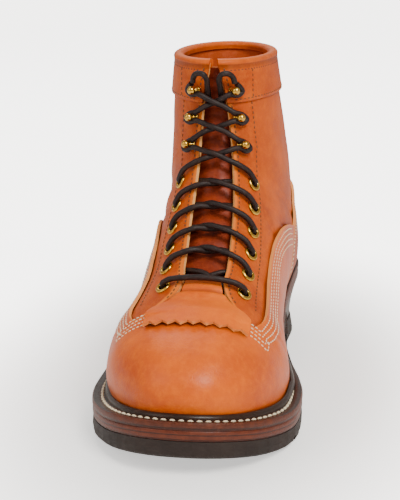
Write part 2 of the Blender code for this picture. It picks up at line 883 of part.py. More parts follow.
def facing_numbers(side):
    """Section numbers of the eyelets and hooks, spaced by their pitches along the facing."""
    numbers = np.linspace(FIRST_EYELET, len(SECTIONS) - 1.05, 70)
    shares = way_at(numbers, throat_half(numbers) + EYELET_INSET, side)
    points = surface(numbers, shares, np.full_like(numbers, side))
    length = np.concatenate([[0], np.cumsum(np.linalg.norm(np.diff(points, axis=0), axis=1))])
    places = [index * EYELET_PITCH for index in range(EYELET_COUNT)]
    for index in range(HOOK_COUNT):
        places.append(places[EYELET_COUNT - 1] + HOOK_STEP + index * HOOK_PITCH)
    return np.interp(places, length, numbers)


def facing_frames(side, inset):
    """Place, outward normal and direction away from the throat at each eyelet and hook."""
    numbers = facing_numbers(side)
    return skin_frame(numbers, side * (throat_half(numbers) + inset))


def turned_ring(place, axis, side_way, profile, sides):
    """Points of a profile of (radius, height) turned about an axis at a place."""
    other = np.cross(axis, side_way)
    angle = np.linspace(0, 2 * math.pi, sides, endpoint=False)
    rings = []
    for radius, height in profile:
        circle = np.outer(np.cos(angle), side_way) + np.outer(np.sin(angle), other)
        rings.append(place + radius * circle + height * axis)
    return rings


def ring_solid(rings, poles=None):
    """Skin through rings of points: a closed loop of rings, or one ended at two pole points."""
    count = len(rings[0])
    points = np.vstack(rings)
    faces = []
    last = len(rings) - 1
    pairs = [(index, index + 1) for index in range(last)]
    if poles is None:
        pairs.append((last, 0))
    for low, high in pairs:
        for index in range(count):
            following = (index + 1) % count
            faces.append((low * count + index, low * count + following,
                          high * count + following, high * count + index))
    if poles is not None:
        points = np.vstack([points, poles])
        bottom, top = len(points) - 2, len(points) - 1
        for index in range(count):
            following = (index + 1) % count
            faces.append((bottom, following, index))
            faces.append((top, last * count + index, last * count + following))
    return points, faces


def make_eyelets(upper):
    """Brass eyelets with a rolled flange, and the holes that they go through."""
    hole = EYELET_HOLE / 2
    barrel = hole + EYELET_WALL
    flange = barrel + EYELET_FLANGE
    profile = (
        (hole, -WALL - GAP),
        (hole, EYELET_RISE * 0.7),
        (hole + EYELET_FLANGE * 0.5, EYELET_RISE + GAP),
        (flange, CURVE_GAP),
        (barrel, CURVE_GAP),
        (barrel, -WALL - GAP),
    )
    names = {1: "right", -1: "left"}
    for side in (1, -1):
        here, normal, away = facing_frames(side, EYELET_INSET)
        for index in range(EYELET_COUNT):
            rings = turned_ring(here[index], normal[index], away[index], profile, EYELET_SIDES)
            points, faces = ring_solid(rings)
            add_piece(f"eyelet_{names[side]}_{index + 1}", points, faces, "brass")
            cut = ((barrel + GAP, -2 * WALL), (barrel + GAP, 2 * WALL))
            rings = turned_ring(here[index], normal[index], away[index], cut, EYELET_SIDES)
            poles = [here[index] - 2 * WALL * normal[index], here[index] + 2 * WALL * normal[index]]
            points, faces = ring_solid(rings, poles)
            cutter = add_piece("hole_cutter", points, faces, "brass", triangles=False)
            apply_boolean(upper, cutter, "DIFFERENCE")


def make_hooks():
    """Brass speed hooks: base disc, curled neck and ball, opening away from the throat."""
    names = {1: "right", -1: "left"}
    base, neck, ball = HOOK_BASE / 2, HOOK_NECK / 2, HOOK_BALL / 2
    rise = LACE + 2 * GAP + ball
    for side in (1, -1):
        here, normal, away = facing_frames(side, HOOK_INSET)
        for index in range(HOOK_COUNT):
            place = here[EYELET_COUNT + index]
            up, out = normal[EYELET_COUNT + index], away[EYELET_COUNT + index]
            if index == HOOK_COUNT - 1:
                place = place + up * (BAND + GAP)
            path = [
                # height, reach, radius
                (HOOK_SEAT, 0.0, base),
                (HOOK_SEAT + HOOK_PLATE, 0.0, base),
                (HOOK_SEAT + 1.25 * HOOK_PLATE, 0.0, neck),
                (rise * 0.62, 0.0, neck),
                (rise * 0.95, HOOK_REACH * 0.35, neck),
                (rise, HOOK_REACH + ball * 0.45, ball * 0.90),
                (rise, HOOK_REACH + ball * 1.1, ball),
                (rise, HOOK_REACH + ball * 1.75, ball * 0.62),
            ]
            line = np.array([place + up * height + out * reach for height, reach, _ in path])
            rings = []
            across = np.cross(up, out)
            for step, (_, _, radius) in enumerate(path):
                bend = fade(path[step][1], 0.0, HOOK_REACH) * math.pi / 2
                lift = out * math.cos(bend) - up * math.sin(bend)
                angle = np.linspace(0, 2 * math.pi, TUBE_SIDES, endpoint=False)
                circle = np.outer(np.cos(angle), lift) + np.outer(np.sin(angle), across)
                rings.append(line[step] + radius * circle)
            poles = [line[0], line[-1] + out * ball * 0.2]
            points, faces = ring_solid(rings, poles)
            add_piece(f"hook_{names[side]}_{index + 1}", points, faces, "brass")


def edge_way(table, numbers):
    """Way of an overlay's edge at section numbers."""
    number, share = columns(table)
    return monotone(numbers, number, share)


def joint_rows():
    """Section numbers along the joint of the counter and the vamp's wing."""
    first = COUNTER[0][0] + np.array(COUNTER_STOPS)
    return np.unique(np.concatenate([first, rows_between(first[-1], WING[-1][0])]))


def make_vamp():
    """Vamp over the toe, and its two wings up the sides of the quarters to the counter."""
    start = THROAT[0][0]
    counter_start = COUNTER[0][0]
    fore = row_numbers()[0]
    aft = np.unique(np.concatenate([rows_between(start, counter_start), joint_rows()]))
    sheets = []
    first = edge_way(WING, np.array([start]))[0]
    for side in (1, -1):
        turned = side < 0
        sheets.append((half_rows(fore, np.zeros(11), np.full(11, first), side, 6), turned))
        sheets.append((half_rows(fore, np.full(11, first), np.ones(11), side, 5), turned))
        low = np.where(aft >= counter_start, edge_way(COUNTER, aft) + JOINT_SHARE, 0.0)
        high = edge_way(WING, aft)
        high = np.maximum(high, low + 0.02)
        sheets.append((half_rows(aft, low, high, side, 6), turned))
    points, faces = join_sheets(sheets)
    points, faces = thicken(points, faces, CURVE_GAP + OVERLAY, CURVE_GAP, floor=True)
    return add_piece("vamp", points, faces, "leather")


def make_counter():
    """Counter cover round the heel, from the feather line to its rounded top."""
    last = COUNTER[-1][0]
    upper_part = rows_between(WING[-1][0], last - 0.5)
    numbers = np.unique(np.concatenate([joint_rows(), upper_part, last - np.array(COUNTER_STOPS)]))
    sheets = []
    for side in (1, -1):
        high = np.maximum(edge_way(COUNTER, numbers), 0.01)
        sheets.append((half_rows(numbers, np.zeros(len(numbers)), high, side, 8), side < 0))
    points, faces = join_sheets(sheets)
    points, faces = thicken(points, faces, CURVE_GAP + OVERLAY, CURVE_GAP, floor=True)
    return add_piece("counter", points, faces, "leather")


def make_collar_band():
    """Band round the top of the shaft, folded over the shell's edge in a roll."""
    last = float(len(SECTIONS) - 1)
    front_pitch = SHELL_HEIGHT - surface(np.array([last - 1]), np.array([1.0]), np.array([1.0]))[0, 2]
    back_pitch = SHELL_HEIGHT - surface(np.array([last - 1]), np.array([0.0]), np.array([1.0]))[0, 2]
    stations = []
    for side in (1, -1):
        edge = throat_way(np.array([last]), side)
        way = spread_way(np.array([last]), np.zeros(1), edge, SIDE_CELLS)[0]
        way = way[::-1] if side > 0 else way[1:]
        stations += [(one, side, one / edge[0]) for one in way]
    rows = []
    for one, side, share in stations:
        depth = BAND_DEPTH / (back_pitch * (1 - one) + front_pitch * one)
        numbers = last - depth * np.array([1.0, 0.55, 0.15, 0.0])
        edge = throat_way(numbers, side)
        sides = np.full(len(numbers), float(side))
        way = share * edge
        here = surface(numbers, way, sides)
        beside = surface(numbers, np.clip(way - SMALL * (way > 0.5) + SMALL * (way <= 0.5), 0, 1), sides)
        across = (beside - here) * np.where(way > 0.5, 1.0, -1.0)[:, None] * side
        if one < 1e-6:
            across = np.tile([-1.0, 0.0, 0.0], (len(numbers), 1))
        along = surface(numbers + SMALL, way, sides) - surface(numbers - SMALL, way, sides)
        along[-1] = along[-2]
        normal = np.cross(across, along)
        normal /= np.linalg.norm(normal, axis=1)[:, None]
        rise = along[-1] / np.linalg.norm(along[-1])
        outer = here[:-1] + normal[:-1] * (CURVE_GAP + BAND)
        inner = here[:-1] + normal[:-1] * CURVE_GAP
        top, out = here[-1], normal[-1]
        roll = []
        for reach, height in ROLL:
            roll.append(top + out * (reach * RIM_ROLL - WALL / 2) + rise * height * RIM_ROLL)
        rows.append(np.vstack([outer, roll, inner[::-1]]))
    count = len(rows[0])
    points = np.vstack(rows)
    faces = grid_faces(len(rows), count)
    for row in range(len(rows) - 1):
        a = row * count
        faces.append((a + count - 1, a + 2 * count - 1, a + count, a))
    first_cap = tuple(range(count))
    last_cap = tuple((len(rows) - 1) * count + index for index in reversed(range(count)))
    return add_piece("collar_band", points, faces + [first_cap, last_cap], "leather")


def make_kiltie():
    """False tongue over the front of the vamp, under the lace, with a toothed lower edge."""
    section, lift = columns(KILTIE)
    cells = 2 * KILTIE_TEETH
    across = np.linspace(-1, 1, cells + 1)
    half = np.minimum(KILTIE_HALF, throat_half(section) - 3 * CURVE_GAP)
    number = np.repeat(section, cells + 1)
    number[:cells + 1:2] += TOOTH_SHARE
    points = skin_frame(number, np.outer(half, across).ravel())[0]
    faces = [tuple(reversed(face)) for face in grid_faces(len(section), cells + 1)]
    rise = OVERLAY * np.repeat(lift, cells + 1)
    points, faces = thicken(points, faces, rise, rise - KILTIE_WALL)
    return add_piece("kiltie", points, faces, "leather")


def tube(path, radius):
    """Closed round tube of points and faces along a path, with its rings turned as little as can be."""
    tangent = np.gradient(path, axis=0)
    tangent /= np.linalg.norm(tangent, axis=1)[:, None]
    side = np.cross(tangent[0], [0.0, 0.0, 1.0])
    angle = np.linspace(0, 2 * math.pi, TUBE_SIDES, endpoint=False)
    rings = []
    for place, axis in zip(path, tangent):
        side = side - axis * np.dot(side, axis)
        side /= np.linalg.norm(side)
        other = np.cross(axis, side)
        circle = np.outer(np.cos(angle), side) + np.outer(np.sin(angle), other)
        rings.append(place + radius * circle)
    return ring_solid(rings, [path[0], path[-1]])


def across_half(numbers, across, inset):
    """Half widths for across values: 0.5 is the throat's edge and 1 the inset behind it."""
    edge = throat_half(numbers)
    size = np.abs(across)
    half = np.where(size < 0.5, 2 * size * edge, edge + (size - 0.5) * 2 * inset)
    return np.sign(across) * half


def strand(start, end, side, inset, far_inset, height):
    """Path of a strand from one side at section start to the other side at section end."""
    across = columns(STRAND)[0]
    numbers = start + (end - start) * (1 - across) / 2
    insets = np.where(across > 0, inset, far_inset)
    here, normal, _ = skin_frame(numbers, side * across_half(numbers, across, insets))
    return here + normal * (LACE * height)[:, None]


def make_laces():
    """Lace: a bar, the crossings between the eyelets and the hooks, and two tucked ends."""
    _, dives, under, over = columns(STRAND)
    numbers = facing_numbers(1)
    short = EYELET_INSET - EYELET_HOLE - LACE / 2
    hook_end = HOOK_INSET - HOOK_BASE / 2 - LACE / 2
    path = strand(numbers[0], numbers[0], 1, EYELET_INSET, EYELET_INSET, over + BAR_LIFT)
    points, faces = tube(path, LACE / 2)
    add_piece("lace_bar", points, faces, "lace")
    for index in range(EYELET_COUNT + HOOK_COUNT - 1):
        own, far, height = EYELET_INSET, short, dives
        start, end = numbers[index], numbers[index + 1]
        if index == 0:
            own, height = short, under
        if index >= EYELET_COUNT - 1:
            far, height = hook_end, over
            end -= HOOK_SPLIT
        if index >= EYELET_COUNT:
            own = hook_end
            start += HOOK_SPLIT
        if index == EYELET_COUNT + HOOK_COUNT - 2:
            height = over + (BAND + GAP) / LACE
        crossing = None
        for side in (1, -1):
            path = strand(start, end, side, own, far, height)
            points, faces = tube(path, LACE / 2)
            piece = add_piece(f"lace_crossing_{index + 1}", points, faces, "lace")
            if crossing is None:
                crossing = piece
            else:
                apply_boolean(crossing, piece, "UNION")
    for name, side in (("right", 1), ("left", -1)):
        number, across, height = columns(LACE_END)
        number = numbers[-1] + number
        here, normal, _ = skin_frame(number, side * across_half(number, across, HOOK_INSET))
        points, faces = tube(here + normal * (LACE * height)[:, None], LACE / 2)
        add_piece(f"lace_end_{name}", points, faces, "lace")


def make_tongue():
    """Tongue under the facings, low enough for the lace to pass between."""
    numbers = np.linspace(THROAT[0][0] + 0.2, len(SECTIONS) - 1.35, 11)
    sheets = []
    for side in (1, -1):
        half = np.minimum(throat_half(numbers) + 0.012, 0.026)
        low = way_at(numbers, half, side)
        sheets.append((half_rows(numbers, low, np.ones(len(numbers)), side, 4), side < 0))
    points, faces = join_sheets(sheets)
    drop = -(WALL + LACE + 2.2 * CURVE_GAP)
    points, faces = thicken(points, faces, drop, drop - TONGUE_WALL)
    return add_piece("tongue", points, faces, "leather")


for leftover in list(bpy.data.objects):
    bpy.data.objects.remove(leftover)
make_outsole()
make_midsole()
make_welt()
make_insole()
make_heel()
shell = make_upper()
make_vamp()
make_counter()
make_collar_band()
make_tongue()
make_kiltie()
make_hooks()
make_laces()
make_eyelets(shell)
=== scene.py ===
# %% [markdown]
# A logger boot dressed for the camera. The solids of the part come in as a fixed frame; this script
# lays finely shaped leather, stitches, brass and lace over them.

# %% Load the frame
import math
import bpy
import numpy as np
from mathutils import Matrix, Vector


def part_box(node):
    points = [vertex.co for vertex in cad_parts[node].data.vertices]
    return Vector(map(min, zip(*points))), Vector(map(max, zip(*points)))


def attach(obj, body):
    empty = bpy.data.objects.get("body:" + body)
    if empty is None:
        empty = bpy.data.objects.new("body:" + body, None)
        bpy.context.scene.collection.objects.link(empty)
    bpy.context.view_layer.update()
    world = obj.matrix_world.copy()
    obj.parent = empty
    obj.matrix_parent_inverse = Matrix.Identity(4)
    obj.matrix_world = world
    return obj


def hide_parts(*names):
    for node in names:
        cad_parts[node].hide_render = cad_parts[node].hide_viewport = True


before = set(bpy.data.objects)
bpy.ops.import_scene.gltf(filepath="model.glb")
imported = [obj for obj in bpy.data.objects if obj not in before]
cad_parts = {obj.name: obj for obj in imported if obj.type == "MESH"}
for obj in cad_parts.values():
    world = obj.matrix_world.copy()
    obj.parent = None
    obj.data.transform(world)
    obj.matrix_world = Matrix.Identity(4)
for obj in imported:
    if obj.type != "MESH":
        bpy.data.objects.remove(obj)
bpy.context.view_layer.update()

# %% [markdown]
# A boot is built on a last, so its form is a handful of cross sections between the feather line, where
# upper and sole meet, and the front line of the foot. The tables hold those sections as shares of named
# sizes. They are the same tables as in the part, because the leather must follow the solids exactly.

# %% Named sizes and tables of the last
BOOT_LENGTH, SOLE_WIDTH, SHELL_HEIGHT = 0.304, 0.122, 0.2035
RUBBER, MIDSOLE, WELT = 0.0100, 0.0058, 0.0047
TOE_SPRING, HEEL_HEIGHT, TOP_LIFT = 0.0125, 0.0435, 0.0120
TOE_MARGIN, HEEL_MARGIN, SIDE_MARGIN = 0.0145, 0.0060, 0.0118
WALL, OVERLAY, BAND, BAND_DEPTH = 0.0024, 0.0019, 0.0011, 0.0230
TONGUE_WALL, KILTIE_WALL, KILTIE_TEETH = 0.0022, 0.0018, 8
GAP, CURVE_GAP, SEAT_GAP = 0.0003, 0.0006, 0.00045
EYELET_COUNT, EYELET_INSET, EYELET_PITCH, EYELET_HOLE = 6, 0.0112, 0.0176, 0.0052
HOOK_COUNT, HOOK_STEP, HOOK_PITCH, HOOK_INSET, HOOK_BALL = 3, 0.0212, 0.0190, 0.0036, 0.0052
SIDES = ((1, "right"), (-1, "left"))
LACE = 0.0036
OUTLINE = np.array((
    # along, inner, outer, margin
    (0.00, 0.450, 0.425, 1.00), (0.10, 0.480, 0.465, 1.00), (0.20, 0.503, 0.500, 1.00),
    (0.28, 0.502, 0.516, 0.98), (0.37, 0.468, 0.515, 0.92), (0.46, 0.405, 0.480, 0.80),
    (0.56, 0.350, 0.415, 0.62), (0.66, 0.335, 0.368, 0.45), (0.76, 0.348, 0.346, 0.35),
    (0.86, 0.360, 0.338, 0.35), (1.00, 0.360, 0.330, 0.35)))
TOE_ROUND, TOE_BLUNT, HEEL_ROUND, HEEL_BLUNT = 0.27, 2.3, 0.15, 2.2
CAMBER = np.array((
    # along, toe_lift, heel_lift
    (0.00, 1.00, 0.00), (0.10, 0.40, 0.00), (0.18, 0.10, 0.00), (0.25, 0.00, 0.00),
    (0.39, 0.00, 0.00), (0.46, 0.00, 0.06), (0.54, 0.00, 0.25), (0.62, 0.00, 0.52),
    (0.70, 0.00, 0.74), (0.78, 0.00, 0.86), (0.90, 0.00, 0.95), (1.00, 0.00, 1.00)))
SECTIONS = np.array((
    # bottom, front, up, side, inner, outer, full
    (0.000, 0.000, 0.000, 0.000, 0.000, 0.000, 0.80), (0.006, 0.000, 0.052, 0.004, 0.084, 0.086, 0.80),
    (0.025, 0.011, 0.105, 0.007, 0.156, 0.160, 0.80), (0.060, 0.039, 0.150, 0.010, 0.228, 0.234, 0.80),
    (0.120, 0.088, 0.190, 0.013, 0.302, 0.330, 0.80), (0.200, 0.147, 0.224, 0.014, 0.354, 0.398, 0.84),
    (0.290, 0.214, 0.274, 0.014, 0.366, 0.416, 0.90), (0.380, 0.277, 0.339, 0.011, 0.343, 0.388, 0.95),
    (0.470, 0.337, 0.406, 0.008, 0.326, 0.357, 0.98), (0.560, 0.393, 0.476, 0.003, 0.322, 0.343, 1.00),
    (0.660, 0.442, 0.547, -0.001, 0.326, 0.336, 1.00), (0.780, 0.477, 0.617, -0.006, 0.332, 0.334, 1.00),
    (0.920, 0.500, 0.684, -0.011, 0.332, 0.330, 1.00), (1.000, 0.514, 0.748, -0.016, 0.328, 0.326, 1.00),
    (1.250, 0.523, 0.813, -0.020, 0.318, 0.318, 1.00), (1.500, 0.528, 0.877, -0.024, 0.302, 0.304, 1.00),
    (1.750, 0.530, 0.942, -0.027, 0.280, 0.282, 1.00), (2.000, 0.530, 1.000, -0.029, 0.256, 0.258, 1.00)))
BACK_SEAM = np.array((
    # up, back, side
    (0.00, 0.0000, 0.016), (0.10, 0.0070, 0.016), (0.20, 0.0090, 0.014), (0.30, 0.0040, 0.011),
    (0.42, -0.0140, 0.006), (0.55, -0.0370, 0.000), (0.70, -0.0560, -0.010), (0.85, -0.0650, -0.020),
    (1.00, -0.0670, -0.030)))
THROAT = np.array((
    # section, half
    (5.50, 0.246), (5.70, 0.235), (6.05, 0.163), (6.45, 0.115), (6.90, 0.100), (7.40, 0.108),
    (9.00, 0.111), (11.2, 0.097), (13.5, 0.077), (15.2, 0.053), (17.0, 0.019)))
WING = np.array((
    # section, way
    (5.50, 0.819), (6.15, 0.740), (7.15, 0.690), (8.35, 0.684), (9.40, 0.672), (10.35, 0.609),
    (11.05, 0.517), (11.50, 0.420)))
COUNTER = np.array((
    # section, way
    (10.0, 0.000), (10.25, 0.150), (10.5, 0.240), (10.8, 0.310), (11.2, 0.362), (12.0, 0.410),
    (13.0, 0.430), (13.6, 0.350), (14.0, 0.240), (14.5, 0.080), (14.7, 0.000)))
KILTIE = np.array((
    # section, lift
    (4.76, 2.95), (5.05, 2.85), (5.48, 2.65), (5.75, 1.70), (6.05, 0.50), (6.45, -0.05), (6.95, -0.10)))
FIRST_EYELET, JOINT_SHARE, KILTIE_HALF = 6.70, 0.012, 0.0280
LAST = float(len(SECTIONS) - 1)
THROAT_START = THROAT[0, 0]
print("sections", len(SECTIONS), "sole", BOOT_LENGTH, "x", SOLE_WIDTH)

# %% [markdown]
# Between the rows of a table we need a smooth line that never overshoots, or the leather would ripple.
# A cubic with its slopes held back wherever the table turns does that.

# %% Smooth lines through tables
def cubic(values, slopes, index, width, share):
    """Cubic between rows index and index + 1 with given slopes, at a share of the width between them."""
    rest = 1 - share
    return (values[index] * (1 + 2 * share) * rest ** 2 + slopes[index] * width * share * rest ** 2
            + values[index + 1] * share ** 2 * (3 - 2 * share)
            - slopes[index + 1] * width * share ** 2 * rest)


def monotone(x, xs, ys):
    """Cubic through the points; its slope is the harmonic mean of the neighbours', or 0 at a turn."""
    x = np.clip(np.asarray(x, float), xs[0], xs[-1])
    step = np.diff(xs)
    slope = np.diff(ys) / step
    tangent = np.concatenate([slope[:1], np.zeros(len(xs) - 2), slope[-1:]])
    same = slope[:-1] * slope[1:] > 0
    weight_a, weight_b = 2 * step[1:] + step[:-1], step[1:] + 2 * step[:-1]
    safe_a, safe_b = np.where(same, slope[:-1], 1.0), np.where(same, slope[1:], 1.0)
    tangent[1:-1] = np.where(same, (weight_a + weight_b) / (weight_a / safe_a + weight_b / safe_b), 0.0)
    index = np.clip(np.searchsorted(xs, x, side="right") - 1, 0, len(step) - 1)
    return cubic(ys, tangent, index, step[index], (x - xs[index]) / step[index])


def read(table, at, column=1):
    """Value of a table's column at places along its first column."""
    return monotone(at, table[:, 0], table[:, column])


def fade(x, start, end):
    """Smooth step from 0 at start to 1 at end: 3 s squared less 2 s cubed."""
    share = np.clip((np.asarray(x, float) - start) / (end - start), 0, 1)
    return share * share * (3 - 2 * share)


def bump(x, centre, width):
    """Bell curve of height 1."""
    return np.exp(-((np.asarray(x, float) - centre) / width) ** 2)


def unit(vectors):
    """Vectors divided by their own lengths."""
    return vectors / np.linalg.norm(vectors, axis=-1)[..., None]


def lengths(line):
    """Distance along a line at each of its points: the running sum of its steps."""
    return np.concatenate([[0], np.cumsum(np.linalg.norm(np.diff(line, axis=0), axis=1))])


def plan(along, margin=0.0):
    """Y and the inner and outer X of the sole's edge; margin 1 gives the feather line."""
    toe = np.clip(1 - along / TOE_ROUND, 0, 1) ** TOE_BLUNT
    heel = np.clip(1 - (1 - along) / HEEL_ROUND, 0, 1) ** HEEL_BLUNT
    ends = np.maximum(1 - toe, 0) ** (1 / TOE_BLUNT) * np.maximum(1 - heel, 0) ** (1 / HEEL_BLUNT)
    inset = margin * SIDE_MARGIN * read(OUTLINE, along, 3)
    start = -BOOT_LENGTH / 2 + margin * TOE_MARGIN
    y = start + along * (BOOT_LENGTH / 2 - margin * HEEL_MARGIN - start)
    return (y, (read(OUTLINE, along, 1) * SOLE_WIDTH - inset) * ends,
            -(read(OUTLINE, along, 2) * SOLE_WIDTH - inset) * ends)


def camber(y):
    """Height of the midsole's underside: rubber, plus toe spring, plus the rise to the heel."""
    along = np.clip(y / BOOT_LENGTH + 0.5, 0, 1)
    return RUBBER + TOE_SPRING * read(CAMBER, along, 1) + (HEEL_HEIGHT - RUBBER) * read(CAMBER, along, 2)


def bed(y):
    """Height of the face that the upper stands on."""
    return camber(y) + MIDSOLE + WELT + GAP + SEAT_GAP


print("bed at the toe", round(float(bed(-0.13)), 4), "at the heel", round(float(bed(0.14)), 4))

# %% [markdown]
# The skin of the last is one function. A section leans from its foot to the front line; its half width
# squared is a falling power times a straight line, which gives an arch over the toes and an oval round
# the shin. Every leather piece below asks this function where it lies.

# %% Skin of the last
def surface(number, way, side):
    """Points at section number, way 0 (bottom or back) to 1 (front line), side +1 inner, -1 outer."""
    index = np.arange(len(SECTIONS), dtype=float)
    bottom, front, up, shift, inner, outer, full = [monotone(number, index, c) for c in SECTIONS.T]
    length = BOOT_LENGTH - TOE_MARGIN - HEEL_MARGIN
    toe_y = -BOOT_LENGTH / 2 + TOE_MARGIN
    toe_z = bed(toe_y)
    foot_y, foot_in, foot_out = plan(np.clip(bottom, 0, 1), 1.0)
    rise = np.clip(bottom - 1, 0, 1)
    heel_y = BOOT_LENGTH / 2 - HEEL_MARGIN
    seam_x = SOLE_WIDTH * read(BACK_SEAM, rise, 2)
    on_foot = bottom <= 1
    base_y = np.where(on_foot, foot_y, heel_y + length * read(BACK_SEAM, rise, 1))
    base_z = np.where(on_foot, bed(foot_y), bed(heel_y) + rise * (SHELL_HEIGHT - bed(heel_y)))
    base_x = np.where(on_foot, seam_x * fade(bottom, 0.8, 1.0), seam_x)
    foot_half = np.maximum(np.where(side > 0, foot_in - base_x, base_x - foot_out) * on_foot, 0)
    middle = np.where(side > 0, inner, outer) * SOLE_WIDTH
    growth = 2 * (middle ** 2 * 2 ** full - foot_half ** 2)
    half = np.sqrt(np.maximum((1 - way) ** full * (foot_half ** 2 + way * growth), 0))
    x = base_x + (shift * SOLE_WIDTH - base_x) * way + side * half
    y = base_y + way * (toe_y + front * length - base_y)
    z = base_z + way * (toe_z + up * (SHELL_HEIGHT - toe_z) - base_z)
    return np.stack([x, y, z], axis=-1)


def throat_half(number):
    """Half width of the throat at section numbers."""
    return SOLE_WIDTH * read(THROAT, number)


def way_at(number, half, side):
    """Way at which the skin lies half away from the front line, read off a fine line of ways."""
    number, half = np.atleast_1d(np.asarray(number, float)), np.atleast_1d(np.asarray(half, float))
    side = np.broadcast_to(side, number.shape).astype(float)
    steps = 1 - np.linspace(0.75, 0.0, 241) ** 2
    grid = np.broadcast_to(steps, (len(number), len(steps)))
    line = surface(np.repeat(number[:, None], len(steps), 1), grid, np.repeat(side[:, None], len(steps), 1))
    away = np.abs(line[..., 0] - line[:, -1:, 0])
    return np.array([np.interp(-width, -one, steps) for width, one in zip(half, away)])


def skin_frame(number, half):
    """Skin points at signed half widths from the front line, with outward normal and way outwards."""
    number, half = np.broadcast_arrays(np.asarray(number, float), np.asarray(half, float))
    number, half = number.ravel(), half.ravel()

    def skin(numbers, halves):
        sides = np.where(halves < 0, -1.0, 1.0)
        return surface(numbers, way_at(numbers, np.abs(halves), sides), sides)

    across = skin(number, half + 0.0008) - skin(number, half - 0.0008)
    along = skin(number + 0.02, half) - skin(number - 0.02, half)
    away = unit(across) * np.where(half < 0, -1.0, 1.0)[:, None]
    return skin(number, half), unit(np.cross(across, along)), away


def throat_way(number, side):
    """Way of the throat's edge."""
    return way_at(number, throat_half(number), side)


print("front of the collar", surface(np.array([LAST]), np.array([1.0]), np.array([1.0])).round(4))

# %% [markdown]
# A sheet of leather is a grid of points with triangles between them. To give it thickness we move one
# copy out and one copy in along the normals and close the rim. The rim is the cut edge of the hide,
# which is paler than its face, so it gets its own material slot.

# %% Grids, shells and meshes
def spread(number, low, high, cells):
    """Ways from low to high in each row, closer where the section turns: sine or cosine spacing."""
    steps = np.linspace(0, 1, 401)
    rows = []
    for lean, first, last in zip(fade(number, 8, 13), low, high):
        line = (1 - lean) * np.sin(math.pi / 2 * steps) + lean * (1 - np.cos(math.pi * steps)) / 2
        start, end = np.interp([first, last], line, steps)
        rows.append(np.interp(np.linspace(start, end, cells + 1), steps, line))
    return np.array(rows)


def sheet(numbers, low, high, side, cells):
    """Grid of skin points with their section numbers and ways: columns x, y, z, number, way, side."""
    way = spread(numbers, np.broadcast_to(low, numbers.shape), np.broadcast_to(high, numbers.shape), cells)
    number = np.repeat(numbers[:, None], cells + 1, axis=1)
    points = surface(number, way, np.full_like(way, side))
    return np.concatenate([points, np.stack([number, way, np.full_like(way, side)], -1)], -1)


def grid_triangles(rows, cols):
    """Two triangles for each cell of a grid stored row by row."""
    a = (np.arange(rows - 1)[:, None] * cols + np.arange(cols - 1)[None, :]).ravel()
    return np.concatenate([np.stack([a, a + cols, a + cols + 1], 1), np.stack([a, a + cols + 1, a + 1], 1)])


def weld(values, triangles):
    """Join rows of values whose first three columns coincide, and drop collapsed triangles."""
    keys = np.round(values[:, :3] / 2e-6).astype(np.int64)
    _, first, inverse = np.unique(keys, axis=0, return_index=True, return_inverse=True)
    triangles = inverse.ravel()[triangles]
    a, b, c = triangles.T
    return values[first], triangles[(a != b) & (b != c) & (a != c)]


def join(sheets):
    """One welded list of points and triangles from grids; those of the outer side are turned round."""
    values, triangles, start = [], [], 0
    for grid in sheets:
        rows, cols = grid.shape[:2]
        faces = grid_triangles(rows, cols) + start
        if grid.shape[-1] > 5 and grid[0, 0, 5] < 0:
            faces = faces[:, ::-1]
        values.append(grid.reshape(-1, grid.shape[-1]))
        triangles.append(faces)
        start += rows * cols
    return weld(np.vstack(values), np.vstack(triangles))


def normals_of(points, triangles):
    """Normals at the points: the sum of the cross products of the triangles round each."""
    a, b, c = points[triangles[:, 0]], points[triangles[:, 1]], points[triangles[:, 2]]
    face = np.cross(b - a, c - a)
    total = np.zeros_like(points)
    for column in range(3):
        np.add.at(total, triangles[:, column], face)
    return total / np.maximum(np.linalg.norm(total, axis=1), 1e-12)[:, None]


def shell(values, triangles, outer, inner, floor=False, relief=0.0):
    """Points, triangles and material numbers (0 face, 1 back, 2 rim) of a sheet with a thickness."""
    points = values[:, :3]
    normal = normals_of(points, triangles)
    skins = [points + normal * np.broadcast_to(depth + relief, len(points))[:, None]
             for depth in (outer, inner)]
    if floor:
        on_bed = np.abs(points[:, 2] - bed(points[:, 1])) < GAP / 3
        for skin in skins:
            low = bed(skin[:, 1])
            skin[:, 2] = np.where(on_bed, low, np.maximum(skin[:, 2], low + GAP / 3))
    count = len(points)
    edges = np.concatenate([triangles[:, [0, 1]], triangles[:, [1, 2]], triangles[:, [2, 0]]])
    key = edges.min(1).astype(np.int64) * count + edges.max(1)
    _, inverse, amount = np.unique(key, return_inverse=True, return_counts=True)
    a, b = edges[amount[inverse.ravel()] == 1].T
    rim = np.concatenate([np.stack([b, a, a + count], 1), np.stack([b, a + count, b + count], 1)])
    faces = np.concatenate([triangles, triangles[:, ::-1] + count, rim])
    slots = np.repeat([0, 1, 2], [len(triangles), len(triangles), len(rim)])
    return np.vstack(skins), faces, slots


